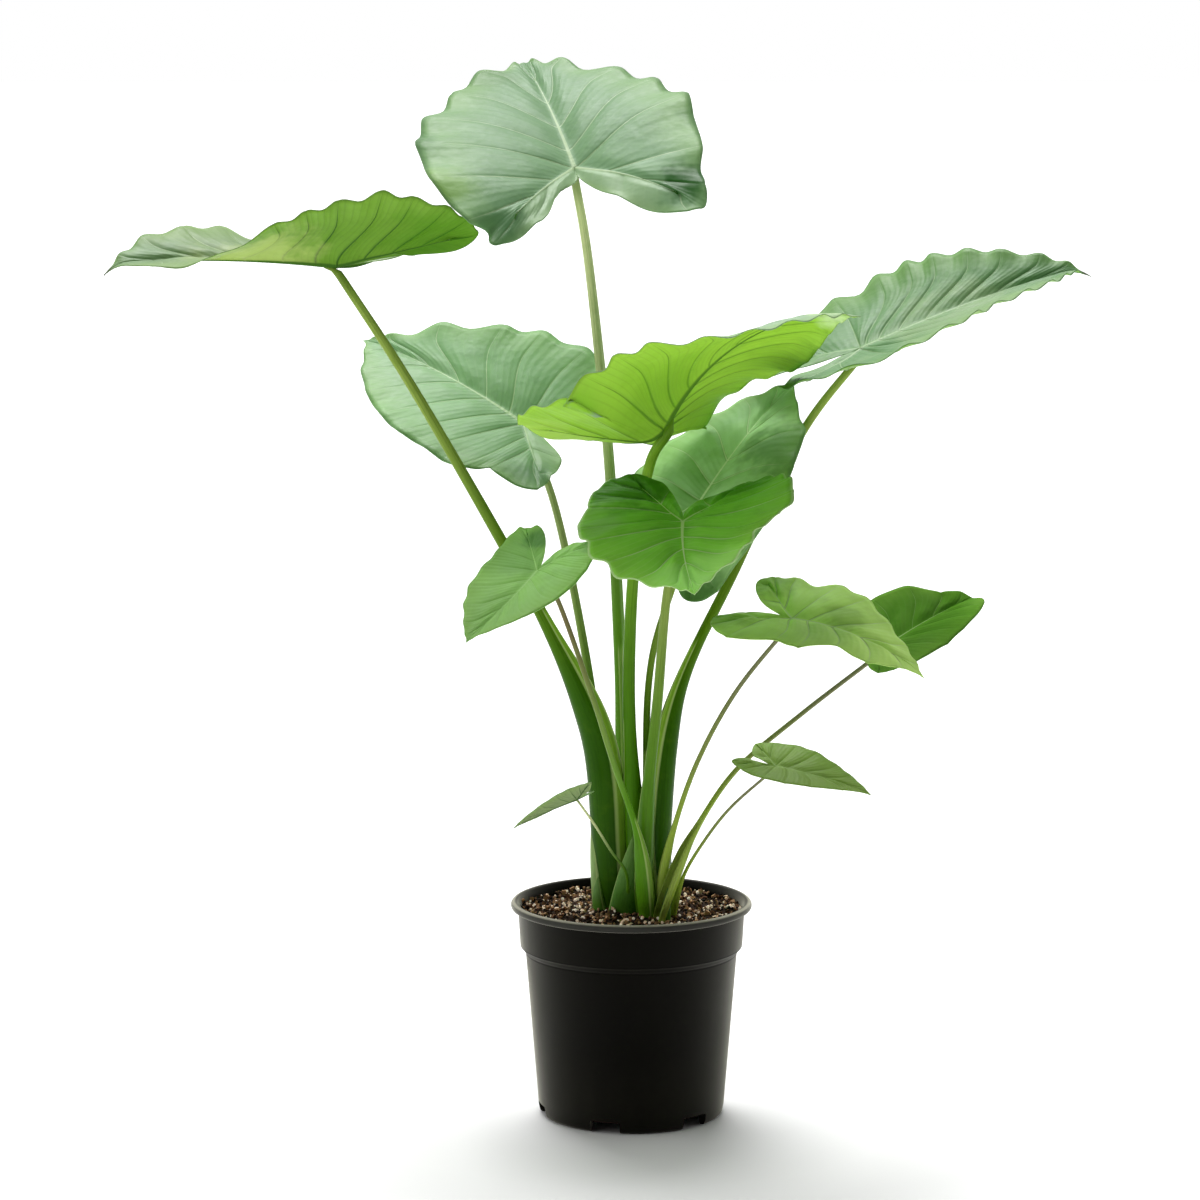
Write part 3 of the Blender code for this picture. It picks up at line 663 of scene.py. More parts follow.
# %% Numbers kept with the points
def store(piece, name, values):
    """Keep one number for each point, through merging and thickening."""
    layer = piece.data.attributes.new(name, "FLOAT", "POINT")
    layer.data.foreach_set("value", np.ascontiguousarray(values, np.float32))


def stored(piece, name):
    values = np.empty(len(piece.data.vertices), np.float32)
    piece.data.attributes[name].data.foreach_get("value", values)
    return values.astype(float)


def corner_map(piece, name, first, second):
    """A UV map from two numbers for each point. It belongs to face corners, so merged points keep both."""
    corners = np.empty(len(piece.data.loops), np.int32)
    piece.data.loops.foreach_get("vertex_index", corners)
    layer = piece.data.uv_layers.get(name) or piece.data.uv_layers.new(name=name)
    pairs = np.stack([first[corners], second[corners]], axis=1)
    layer.data.foreach_set("uv", pairs.astype(np.float32).ravel())


# %% Relief of the blade
# Half widths in blade lengths: at the thin end, what is gained towards the stalk, and how fast
MIDRIB = (0.0022, 0.0108, 1.2)
LOBE_RIB = (0.0030, 0.0070, 1.5)
VEIN_HALF, VEIN_TAPER = 0.0046, 0.0030
MAP_REACH = 8.0          # how many rib or vein widths the gap maps cover


def rib_width(sizes, share):
    end, gain, speed = sizes
    return end + gain * (1 - share) ** speed


def crest(gap, half, *fades):
    """A soft ridge, as high as its half width along its middle line and lower where it fades out."""
    height = np.exp(-((gap / half) ** 2)) * half
    for fade in fades:
        height = height * fade
    return height


def waves(recipe, t, vein, wave, front):
    """How far the sheet swells between two veins and waves at the margin, in blade lengths."""
    between = np.abs(np.sin(np.pi * vein))
    swell = recipe["quilt"] * between * smooth(t / 0.3) * (1 - 0.35 * t) * smooth((1 - front) / 0.4)
    near_sinus = 0.4 + 0.6 * smooth(vein / 2)
    ruffle = recipe["ruffle"] * wave * t**3.2 * near_sinus * smooth((1 - front) / 0.30)
    return (swell + ruffle) * smooth((1 - front) / 0.08)


# %% Half a blade
def half_blade(recipe, side):
    """One half of the blade as a grid, with the maps that its finish reads."""
    veins, length = sum(recipe["veins"]), recipe["length"]
    piece, t, row = unit_grid(f"half_{recipe['name']}_{side}", COLUMNS, row_count(recipe))
    t = t**COLUMN_CROWDING
    even_s, vein = rows_to_s(recipe, row)
    root_s = root_position(recipe, even_s)
    reach, wave = margin_shape(recipe, side, vein)
    stretched = t * (1 + (reach - 1) * t)
    base = blade_points(recipe, side, stretched, lean_to_points(recipe, side, root_s, vein, t))

    front = front_share(root_s)
    behind = np.where(even_s < BACK_ROWS, even_s / BACK_ROWS, np.clip(2 - even_s / BACK_ROWS, 0, 1))
    rib_gap = np.linalg.norm(base - blade_points(recipe, side, 0 * t, root_s), axis=1)
    rib_half = length * np.where(front > 0, rib_width(MIDRIB, front), rib_width(LOBE_RIB, behind))
    rib_fade = smooth((1 - front) / 0.05) * smooth((1 - behind) / 0.30)

    nearest = np.round(vein)
    line_s = root_position(recipe, np.interp(nearest, np.arange(veins + 1), even_points(recipe["veins"])))
    line = blade_points(recipe, side, stretched, lean_to_points(recipe, side, line_s, nearest, t))
    vein_gap = np.linalg.norm(base - line, axis=1)
    vein_half = length * (VEIN_HALF - VEIN_TAPER * t)

    store(piece, "lift", length * waves(recipe, t, vein, wave, front))
    store(piece, "rib", crest(rib_gap, rib_half, rib_fade))
    store(piece, "vein", crest(vein_gap, vein_half, smooth(t / 0.05), smooth((1 - t) / 0.3)))
    lobe = smooth((1 - np.abs(even_s / BACK_ROWS - 1) - 0.4) / 0.6) * t
    set_points(piece, base - blade_frame(recipe)[2] * (length * recipe["lobe_drop"][side] * lobe)[:, None])
    corner_map(piece, "veins", t, vein / veins)
    corner_map(piece, "gaps", *(np.minimum(gap / half / MAP_REACH, 1)
                                for gap, half in ((rib_gap, rib_half), (vein_gap, vein_half))))
    return piece


# %% Two halves make a blade
BLADE_THICKNESS = 0.0009
RIDGES = {"rib": (1.4, 0.30), "vein": (0.8, -0.6)}   # how far each stands out below, and above


def make_blade(recipe, finishes):
    halves = [half_blade(recipe, side) for side in (0, 1)]
    only(halves[0])
    halves[1].select_set(True)
    bpy.ops.object.join()
    blade = bpy.context.object
    blade.name = blade.data.name = f"blade_{recipe['name']}"
    blade.data.uv_layers.remove(blade.data.uv_layers["UVMap"])
    in_edit_mode(blade, merge_within(0.00002), (bpy.ops.mesh.dissolve_degenerate, {"threshold": 0.00001}),
                 FACE_OUTWARDS)
    if (points_of(blade, "normal") @ blade_frame(recipe)[2]).mean() < 0:
        blade.data.flip_normals()
    set_points(blade, points_of(blade) + points_of(blade, "normal") * stored(blade, "lift")[:, None])
    for finish in finishes:
        blade.data.materials.append(finish)

    sheet_points = len(blade.data.vertices)
    thickness = blade.modifiers.new("Thickness", "SOLIDIFY")
    thickness.thickness = BLADE_THICKNESS
    thickness.offset = -1.0
    thickness.material_offset = 1
    apply_all(blade)
    is_under = np.arange(len(blade.data.vertices)) >= sheet_points
    below, above = (sum(heights[face] * stored(blade, name) for name, heights in RIDGES.items())
                    for face in (0, 1))
    stand_out = np.where(is_under, below, above)
    set_points(blade, points_of(blade) + points_of(blade, "normal") * stand_out[:, None])
    for name in ("lift", "rib", "vein"):
        blade.data.attributes.remove(blade.data.attributes[name])
    shade_round(blade)
    return blade


# %% [markdown]
# ## The green of a leaf
#
# The upper face of a grown leaf is a cool, waxy green that warms towards the margin, with pale ribs and
# hairline veins. The underside is yellower, and its ribs look darker, because light soaks through the thin
# sheet between them but not through a rib. Here no light passes through, so that glow is painted light in
# the underside's greens, and the darker ribs and veins of the underside are painted as well. So each leaf
# gets two finishes. Both read the two maps that the grid left behind. One says how far out a point lies and
# between which veins, the other how far it is from its rib and from its nearest vein.


# %% Upper and under finishes
PARALLELS = 5            # fine lines between one vein and the next


def leaf_face(name, patches, veins, inner, middle, edge, shade, line, rib, rim, vein_width, rib_width, trough_shade_strength,
              fine, rough, gloss):
    """One side of a leaf.

    middle and edge are its greens, and shade a darker one, for blotches of the leaf's own tone and for the
    painted shade in the troughs along the veins, where trough_shade_strength is its strength. line colours
    the veins, rib the stout ribs and rim the very margin. fine is the strength of the lines between the
    veins. inner is the share of the margin on the inner side of the lobe, where the blade is plain and pale.
    """
    made = Finish(name)
    out, vein = made.uv("veins")
    rib_gap, vein_gap = made.uv("gaps")
    blotch = made.noise(7.0, 3.0, 0.55)
    fleck = made.noise(120.0, 4.0, 0.6)
    cloud = made.noise(24.0, 3.0, 0.6)
    outer = made.step(out, 0.55, 1.0)
    warm = made.reckon("MULTIPLY", outer, made.step(blotch, 0.3, 0.7, 0.35, 1.0), clamp=True)
    colour = made.mix(warm, middle, edge)
    colour = made.mix(made.step(blotch, 0.45, 0.75, 0.0, 0.30), colour, shade)
    colour = made.mix(made.step(cloud, 0.50, 0.80, 0.0, 0.28), colour, shade)
    colour = made.mix(made.step(fleck, 0.35, 0.75, 0.0, 0.14), colour, edge)
    # Painted shade in the troughs along the veins, fading out towards the margin.
    trough_shade_mask = made.times(made.step(vein_gap, 0.08, 0.40, 1.0, 0.0), made.step(out, 0.0, 0.8, 1.0, 0.15))
    colour = made.mix(made.times(trough_shade_mask, trough_shade_strength), colour, shade)
    lines = made.reckon("SINE", made.times(vein, veins * PARALLELS * 2 * math.pi))
    colour = made.mix(made.step(lines, 0.60, 1.0, 0.0, fine), colour, line)
    hairline = made.times(made.step(vein_gap, 0.3 * vein_width, vein_width, 1.0, 0.0),
                          made.step(out, 0.70, 1.0, 0.95, 0.30))
    if inner:
        within = made.step(vein, 0.70 * inner, 1.02 * inner)
        colour = made.mix(made.times(made.reckon("SUBTRACT", 1.0, within), 0.45), colour, line)
        hairline = made.times(hairline, within)
    colour = made.mix(hairline, colour, line)
    # Painted shade and painted light from the leaf's patches, and a few colours of the leaf's own.
    for place, size, amount, tint in patches:
        near = made.reckon("ADD", made.gap_from(place), made.step(cloud, 0.3, 0.7, -0.25 * size, 0.25 * size))
        colour = made.mix(made.step(near, 0.25 * size, size, amount, 0.0), colour, tint)
    colour = made.mix(made.step(rib_gap, 0.5 * rib_width, rib_width, 1.0, 0.0), colour, rib)
    colour = made.mix(made.step(out, 0.970, 0.992, 0.0, 0.50), colour, rim)
    made.bump(made.reckon("ADD", made.times(lines, 0.25), made.times(cloud, 6.0)), 0.35, 0.0009)
    roughness = made.step(fleck, 0.2, 0.8, rough - 0.05, rough + 0.07)
    return made.surface(colour, roughness, Specular_IOR_Level=gloss)


# %% The greens
LEAF_GREENS = {
    # name: upper face, underside. Each is partly the leaf's own tone and partly painted light and shade,
    # set so that each leaf comes out as light or dark as it looks where it stands in the clump
    "top": ((116, 158, 110), (112, 166, 50)), "left": ((125, 155, 101), (101, 144, 42)),
    "right": ((101, 148, 92), (112, 160, 70)), "bright": ((164, 193, 160), (164, 215, 66)),
    "back_left": ((126, 173, 115), (108, 160, 60)), "dark": ((168, 212, 148), (90, 140, 50)),
    "front": ((125, 200, 64), (96, 150, 48)), "low_left": ((166, 221, 124), (104, 156, 60)),
    "low_right": ((212, 254, 137), (108, 156, 60)), "far_right": ((102, 149, 60), (90, 140, 50)),
    "small_right": ((157, 187, 95), (96, 140, 60)), "small_left": ((178, 216, 156), (141, 162, 111)),
}
WARM, PALE, DEEP = (150, 196, 80), (205, 226, 176), (24, 62, 14)
WAXY = ("top", "left", "right", "back_left")
MATT = ("far_right",)
PALE_RIMS = ("front",)
USUAL_VEINS = (0.50, 0.15, 0.40, 0.55)
VEIN_LOOKS = {
    # paleness of the veins, their width, strength of the painted shade in the troughs along them, and how
    # much darker the underside's veins are painted, where light doesn't pass through them
    "top": (0.60, 0.16, 0.25, 0.55), "left": (0.50, 0.15, 0.50, 0.66), "right": (0.40, 0.15, 0.35, 0.55),
    "bright": (0.50, 0.15, 0.30, 0.36), "back_left": (0.55, 0.15, 0.35, 0.55),
    "dark": (0.82, 0.22, 0.85, 0.55), "front": (0.80, 0.26, 0.60, 0.55), "low_left": (0.16, 0.15, 0.15, 0.55),
    "low_right": (0.66, 0.22, 0.85, 0.55), "far_right": (0.40, 0.15, 0.30, 0.55),
    "small_right": (0.25, 0.15, 0.12, 0.55),
}

# %% Patches of another colour, mostly painted shade and painted light
# Painted shade where a leaf lies in shade and painted light where it catches light. A few give the other
# face's green where a fold isn't modelled, and the brown of withered drip tips.
PATCHES = {
    # side, place along the margin, share of the way out, size in blade lengths, amount, tint
    "top": (
        (0, 0.27, 0.66, 0.13, 0.95, (30, 92, 14)), (1, 0.21, 0.85, 0.13, 0.70, (70, 116, 66)),
        (1, 0.33, 0.98, 0.14, 0.60, (134, 178, 84)), (1, 0.78, 0.90, 0.16, 0.55, (84, 132, 66)),
        (1, 0.44, 1.00, 0.10, 0.60, (70, 120, 58)), (0, 0.40, 1.00, 0.10, 0.45, (80, 126, 70)),
    ),
    "left": (
        (1, 0.60, 0.30, 0.34, 0.60, (178, 196, 110)), (1, 0.20, 0.60, 0.40, 0.45, (66, 128, 4)),
        (0, 0.85, 0.70, 0.20, 0.40, (92, 142, 92)), (0, 1.00, 1.00, 0.06, 0.90, (58, 62, 46)),
    ),
    "right": (
        (0, 0.20, 0.95, 0.22, 0.70, (60, 100, 52)), (0, 0.60, 0.60, 0.50, 0.40, (168, 192, 140)),
        (1, 0.85, 0.60, 0.25, 0.35, (96, 140, 84)), (0, 1.00, 1.00, 0.06, 0.90, (70, 60, 52)),
    ),
    "bright": (
        (0, 0.19, 0.80, 0.24, 0.60, (176, 212, 96)), (0, 0.50, 0.35, 0.30, 0.35, (104, 164, 22)),
        (1, 0.91, 0.60, 0.13, 0.95, (205, 232, 170)), (1, 0.45, 0.60, 0.16, 0.50, (150, 196, 60)),
        (0, 0.36, 0.95, 0.13, 1.00, (150, 205, 60)),
    ),
    "back_left": (
        (1, 0.22, 0.85, 0.20, 0.45, (72, 122, 66)), (0, 0.60, 0.85, 0.20, 0.45, (84, 140, 60)),
        (1, 0.70, 0.70, 0.30, 0.35, (150, 178, 140)),
    ),
    "dark": (
        (0, 0.60, 0.96, 0.40, 0.62, (40, 92, 14)), (1, 0.70, 0.75, 0.20, 0.40, (104, 152, 88)),
        (0, 0.22, 0.75, 0.34, 0.85, (44, 94, 18)), (1, 0.42, 0.45, 0.34, 0.50, (84, 138, 62)),
    ),
    "front": (
        (0, 0.24, 0.60, 0.34, 0.80, (52, 112, 18)), (1, 0.18, 0.55, 0.26, 0.60, (56, 116, 24)),
        (1, 0.80, 0.80, 0.30, 0.55, (146, 200, 104)), (0, 0.42, 0.80, 0.14, 0.50, (140, 186, 110)),
        (0, 0.85, 0.85, 0.24, 0.50, (140, 196, 100)),
    ),
    "low_left": (
        (0, 0.35, 0.45, 0.34, 0.35, (104, 156, 84)), (0, 0.12, 0.60, 0.14, 0.60, (62, 112, 60)),
        (1, 0.26, 0.90, 0.16, 0.60, (52, 108, 20)),
    ),
    "low_right": (
        (0, 0.55, 0.50, 0.30, 0.35, (142, 190, 104)), (1, 0.55, 0.45, 0.22, 0.35, (84, 140, 40)),
        (0, 0.20, 0.60, 0.26, 0.45, (74, 140, 24)), (1, 0.20, 0.50, 0.26, 0.45, (74, 140, 24)),
    ),
    "far_right": (
        (1, 0.40, 0.60, 0.40, 0.30, (50, 104, 14)), (0, 0.60, 0.50, 0.50, 0.50, (76, 132, 28)),
        (1, 0.85, 0.50, 0.24, 0.50, (80, 138, 24)),
    ),
    "small_right": ((0, 0.50, 0.50, 0.40, 0.45, (150, 176, 100)),),
}


def placed_patches(recipe):
    """The leaf's patches with their place in the room, size in metres, strength and colour."""
    patches = []
    for side, s, out, size, amount, tint in PATCHES.get(recipe["name"], ()):
        place = blade_points(recipe, side, np.array([out]), np.array([s]))[0]
        patches.append((tuple(place), size * recipe["length"], amount, screen(*tint)))
    return patches


# %% Two finishes for a leaf
def blend(first, second, share):
    return tuple((1 - share) * a + share * b for a, b in zip(first, second))


def leaf_finishes(recipe):
    """The two finishes of one leaf, from its two greens, which hold painted light and shade as well as its
    tone.
    """
    name, veins = recipe["name"], sum(recipe["veins"])
    is_waxy = name in WAXY
    upper, under = LEAF_GREENS[name]
    paleness, vein_width, trough_shade_strength, darkness = VEIN_LOOKS.get(name, USUAL_VEINS)
    looks = {
        "upper": dict(middle=upper, shade=blend(upper, DEEP, 0.30 if is_waxy else 0.42),
                      line=blend(upper, PALE, paleness), rib=blend(upper, PALE, min(paleness + 0.12, 0.85))),
        # The underside's greens hold painted light: a glow as of light through the sheet, and ribs and veins
        # painted darker where it doesn't pass.
        "under": dict(middle=under, shade=blend(under, DEEP, 0.30), line=blend(under, DEEP, darkness),
                      rib=blend(under, DEEP, 0.55)),
    }
    surfaces = {
        "upper": dict(rib_width=0.12, fine=0.07, rough=0.44,
                      gloss=0.16 if is_waxy else 0.0 if name in MATT else 0.05),
        "under": dict(rib_width=0.16, fine=0.18, rough=0.52, gloss=0.06),
    }
    faces = []
    for side, greens in looks.items():
        greens["edge"] = blend(greens["middle"], WARM, 0.40)
        greens["rim"] = PALE if name in PALE_RIMS else greens["shade"]
        colours = {key: screen(*green) for key, green in greens.items()}
        faces.append(leaf_face(f"leaf_{side}_{name}", placed_patches(recipe), veins,
                               recipe["veins"][0] / veins if is_waxy else 0, vein_width=vein_width,
                               trough_shade_strength=trough_shade_strength, **colours, **surfaces[side]))
    return faces


# %% Grow the blades
for recipe in LEAVES:
    blade = make_blade(recipe, leaf_finishes(recipe))
    node = f"leaf_blade_{recipe['name']}"
    hand_over(blade, node, "blade_green")
    low, high = (np.array(corner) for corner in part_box(node))
    spots = points_of(blade)
    outside = [np.maximum(low - spots.min(0), 0), np.maximum(spots.max(0) - high, 0)]
    print(recipe["name"], len(blade.data.polygons), "faces; stands out by mm",
          *np.round(1000 * np.array(outside), 1))

# %% [markdown]
# ## Stalks with a sheath
#
# An alocasia stalk is round and smooth above, with a shallow channel on the side that faces the clump.
# Lower down it opens into a sheath: a broad, C-shaped gutter with two thin wings, which clasps the younger
# stalks inside it. Two outlines are enough for the whole stalk, a C and a channelled circle. Each ring of
# the stalk is a blend of the two, and the blend changes where the sheath ends. The start is again a grid
# primitive, rolled up round the stalk's route.

# %% A route and the directions along it
def lengths_along(path):
    """The distance from the start at each point of the path."""
    return np.concatenate([[0], np.cumsum(np.linalg.norm(np.diff(path, axis=0), axis=1))])


def read_evenly(path, count):
    """The same path with this many points, at even distances."""
    distance = lengths_along(path)
    even = np.linspace(0, distance[-1], count)
    return np.stack([np.interp(even, distance, path[:, axis]) for axis in range(3)], axis=1)


def smooth_route(points, count):
    """A Catmull-Rom curve through the points, read at even distances."""
    points = np.array(points)
    ends = np.vstack([2 * points[0] - points[1], points, 2 * points[-1] - points[-2]])
    u = np.linspace(0, 1, 20, endpoint=False)[:, None]
    spans = []
    for before, start, end, after in zip(ends, ends[1:], ends[2:], ends[3:]):
        bend = 2 * before - 5 * start + 4 * end - after
        cubic = -before + 3 * start - 3 * end + after
        spans.append(0.5 * (2 * start + (end - before) * u + bend * u**2 + cubic * u**3))
    return read_evenly(np.vstack(spans + [points[-1:]]), count)


def unit(vectors):
    return vectors / np.linalg.norm(vectors, axis=-1, keepdims=True)


def route_frame(path, inward):
    """Directions at each station: towards the clump, and sideways."""
    along = unit(np.gradient(path, axis=0))
    inward = np.broadcast_to(inward, path.shape)
    towards = unit(inward - (inward * along).sum(axis=1, keepdims=True) * along)
    return towards, np.cross(along, towards)


# %% The two outlines of a stalk
WING_EDGE = 0.035        # thickness of the gutter's wings at their edge, as a share of its radius
CHANNEL_DEPTH, CHANNEL_WIDTH = 0.16, 0.45


def gutter_outline(u, opening, wall):
    """A C in units of its own radius: out along the back from wing to wing, then back along the inside."""
    outside = u < 0.5
    share = np.where(outside, 4 * u - 1, 3 - 4 * u)
    angle = np.radians(opening) * share
    thick = wall * (1 - np.abs(share) ** 2.2) + WING_EDGE
    radius = np.where(outside, 1.0, 1.0 - thick)
    return radius * np.sin(angle), -radius * np.cos(angle)


def round_outline(u, opening):
    """A circle with a shallow channel on the inward side, its points matched to the C's."""
    outside = u < 0.5
    inside_turn = opening + (360 - 2 * opening) * (2 * u - 1)
    angle = np.radians(np.where(outside, opening * (4 * u - 1), inside_turn))
    radius = 1.0 - CHANNEL_DEPTH * np.exp(-(((angle - math.pi) / CHANNEL_WIDTH) ** 2)) * ~outside
    return radius * np.sin(angle), -radius * np.cos(angle)


# %% [markdown]
# A sheath may stand a little wider than the plain tube that it replaces, because sheaths clasp each other
# and plain tubes may not. The route runs from under the mix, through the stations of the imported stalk, and
# on along the underside of the blade, so that the stalk's end is taken in by the midrib.

# %% Sheath sizes
SHEATHS = {
    # half width and half depth of the gutter, share of the stalk that it takes, turn of its mouth in degrees
    "top": (0.013, 0.012, 0.36, 0), "left": (0.021, 0.022, 0.46, 8), "right": (0.017, 0.017, 0.46, -16),
    "bright": (0.013, 0.012, 0.40, 20), "back_left": (0.010, 0.009, 0.30, 0), "dark": (0.009, 0.009, 0.40, 0),
    "front": (0.010, 0.011, 0.44, 10), "low_left": (0.0105, 0.0110, 0.30, -15),
    "low_right": (0.0070, 0.0065, 0.34, 0), "far_right": (0.0080, 0.0080, 0.34, 35),
    "small_right": (0.0042, 0.0040, 0.3, 0), "small_left": (0.0034, 0.0032, 0.3, 0),
}
SECTION_POINTS = 40
STALK_RINGS = 90
MIX_TOP = 0.2300
ROOT_DEPTH = 0.012       # how far under the mix's top a stalk starts
print("faces round and along a stalk:", SECTION_POINTS, STALK_RINGS)


def stalk_route(recipe):
    """From under the mix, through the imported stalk's stations, and on into the blade's midrib."""
    (foot_x, foot_y), *stations = recipe["route"]
    forward, _, up = blade_frame(recipe)
    top = recipe["radii"][1]
    under = np.array(recipe["hub"]) - up * 1.3 * top
    ahead = under + forward * (0.055 * recipe["length"]) + up * 0.35 * top
    start = [(foot_x, foot_y, MIX_TOP - ROOT_DEPTH), (foot_x, foot_y, MIX_TOP + 0.5 * ROOT_DEPTH)]
    rising = smooth_route(start + stations + [tuple(under)], 240)
    path = np.vstack([rising, under + (ahead - under) * np.linspace(0.1, 1, 9)[:, None]])
    for _ in range(6):
        path[1:-1] = (path[:-2] + 2 * path[1:-1] + path[2:]) / 4
    return read_evenly(path, STALK_RINGS + 1)


# %% Roll a grid round a route
def rolled_tube(name, path, inward, half_width, half_depth, round_radius, open_share,
                opening=146.0, wall=0.30):
    """A grid rolled round the path. Width, depth, radius and open share are given for each ring."""
    piece, u, ring = unit_grid(name, SECTION_POINTS, len(path) - 1)
    towards, sideways = route_frame(path, inward)
    c_side, c_in = gutter_outline(u % 1.0, opening, wall)
    r_side, r_in = round_outline(u % 1.0, opening)
    mix = open_share[ring]
    side = mix * c_side * half_width[ring] + (1 - mix) * r_side * round_radius[ring]
    inwards = mix * c_in * half_depth[ring] + (1 - mix) * r_in * round_radius[ring]
    set_points(piece, path[ring] + side[:, None] * sideways[ring] + inwards[:, None] * towards[ring])
    corner_map(piece, "around", u, ring / (len(path) - 1.0))
    wing = np.where(u <= 0.5, np.abs(4 * u - 1), np.maximum(np.abs(3 - 4 * u), 0.86))
    corner_map(piece, "wing", wing, mix)
    piece.data.uv_layers.remove(piece.data.uv_layers["UVMap"])
    in_edit_mode(piece, merge_within(0.00001), CLOSE_HOLES, FACE_OUTWARDS)
    shade_round(piece)
    return piece


def make_stalk(recipe):
    path = stalk_route(recipe)
    part = np.linspace(0, 1, len(path))
    wide, deep, share, mouth_turn = SHEATHS[recipe["name"]]
    neck, top = recipe["radii"]
    lean_x, lean_y = recipe["hub"][0] - recipe["route"][0][0], recipe["hub"][1] - recipe["route"][0][1]
    across, deeper, _ = turned(mouth_turn)
    lean = np.array([lean_x * across - lean_y * deeper, lean_x * deeper + lean_y * across, 0.0])
    open_share = 1 - smooth((part - 0.62 * share) / (0.42 * share))
    round_radius = top + (neck - top) * (1 - part) ** 1.1
    round_radius = round_radius * (1 - 0.80 * smooth((part - 0.975) / 0.025))
    swell = 0.86 + 0.14 * smooth(part / (0.35 * share))
    swell = swell - 0.42 * smooth((part - 0.38 * share) / (0.66 * share))
    return rolled_tube(f"stalk_{recipe['name']}", path, -lean, wide * swell, deep * swell, round_radius,
                       open_share)


# %% The green of a stalk
# Painted shade: the top of each stalk is darker where its blade shades it.
SHADE_UNDER_BLADE, SEAM_GREEN = screen(66, 98, 18), screen(196, 216, 138)


def stalk_finish(name, colours, gloss=0.10, edging=0.55):
    """Greens that change along the stalk, painted shade just under the blade, streaks and mottling, and a
    sheath with pale wings and seams.
    """
    made = Finish(name)
    back, neck, top, wing, shade = (screen(*colour) for colour in colours)
    around, along = made.uv("around")
    wing_reach, opened = made.uv("wing")
    colour = made.mix(made.step(along, 0.30, 0.52), back, neck)
    colour = made.mix(made.step(along, 0.45, 0.85), colour, top)
    # Painted shade just under the blade.
    colour = made.mix(made.step(along, 0.925, 0.970, 0.0, 0.50), colour, SHADE_UNDER_BLADE)
    streak_place = made.node("ShaderNodeCombineXYZ")
    made.feed(streak_place.inputs[0], made.times(around, 9.0))
    made.feed(streak_place.inputs[1], along)
    streak = made.noise(7.0, 4.0, 0.6, vector=streak_place.outputs[0])
    colour = made.mix(made.step(streak, 0.45, 0.72, 0.0, 0.50), colour, shade)
    mottle = made.noise(55.0, 3.0, 0.6)
    colour = made.mix(made.step(mottle, 0.5, 0.75, 0.0, 0.15), colour, neck)
    is_open = made.step(opened, 0.01, 0.12)
    pale = made.times(made.step(wing_reach, 0.70, 0.78), is_open)
    pale = made.times(pale, made.step(along, 0.0, 0.12, 0.35, 0.92))
    colour = made.mix(pale, colour, made.mix(made.step(streak, 0.35, 0.65, 0.0, 0.5), wing, neck))
    seam = made.times(made.step(wing_reach, 0.67, 0.72), made.step(wing_reach, 0.74, 0.80, 1.0, 0.0))
    edge = made.reckon("ADD", seam, made.step(wing_reach, 0.94, 0.99), clamp=True)
    colour = made.mix(made.times(made.times(edge, is_open), edging), colour, SEAM_GREEN)
    made.bump(streak, 0.25, 0.0008)
    return made.surface(colour, made.step(mottle, 0.2, 0.8, 0.30, 0.42), Specular_IOR_Level=gloss)


# %% The greens of the stalks
STALK_GREENS = {
    # back and neck of the sheath, top of the stalk, wing of the sheath, streaks
    "stalk_dark": ((48, 92, 0), (88, 126, 16), (140, 164, 72), (140, 182, 58), (32, 70, 0)),
    "stalk_bright": ((80, 136, 4), (84, 132, 12), (126, 172, 44), (122, 170, 44), (50, 92, 2)),
    "stalk_grey": ((80, 136, 4), (112, 142, 58), (156, 170, 110), (122, 170, 44), (50, 92, 2)),
    "stalk_light": ((96, 146, 30), (100, 138, 54), (212, 220, 160), (140, 178, 84), (84, 128, 30)),
    "stalk_olive": ((82, 132, 20), (94, 136, 34), (134, 154, 74), (130, 168, 74), (70, 98, 20)),
    "stalk_thin": ((150, 178, 62), (132, 148, 72), (124, 124, 92), (158, 184, 76), (104, 122, 46)),
    "stalk_brown_top": ((92, 150, 20), (126, 160, 70), (116, 104, 70), (134, 176, 66), (60, 104, 12)),
    "bract_green": ((84, 138, 40), (104, 150, 70), (120, 160, 84), (110, 158, 66), (60, 108, 26)),
    "bract_pale": ((150, 184, 110), (150, 184, 110), (120, 130, 80), (176, 200, 130), (110, 146, 70)),
}
STALK_EXTRAS = {"stalk_dark": {"gloss": 0.06}, "stalk_thin": {"edging": 0.15}}
STALK_TINTS = {
    "top": "light", "left": "dark", "right": "dark", "bright": "bright", "back_left": "grey",
    "dark": "dark", "front": "olive", "low_left": "brown_top", "low_right": "thin", "far_right": "thin",
    "small_right": "thin", "small_left": "light",
}
stalk_finishes = {name: stalk_finish(name, colours, **STALK_EXTRAS.get(name, {}))
                  for name, colours in STALK_GREENS.items()}

# %% Raise the stalks
for recipe in LEAVES:
    name = recipe["name"]
    stalk = make_stalk(recipe)
    hand_over(stalk, f"leaf_stalk_{name}", "stalk_green", stalk_finishes[f"stalk_{STALK_TINTS[name]}"])
    length = lengths_along(stalk_route(recipe))[-1]
    print(name, "stalk:", len(stalk.data.polygons), "faces, length", round(length, 3), "m")

# %% [markdown]
# ## Old sheaths round the clump
#
# Leaves that have withered leave the lower end of their sheath behind: a short, broad bract with a pointed
# tip, wrapped round the foot of the clump. It is the same rolled tube, wide open and flat, and it narrows to
# a point.

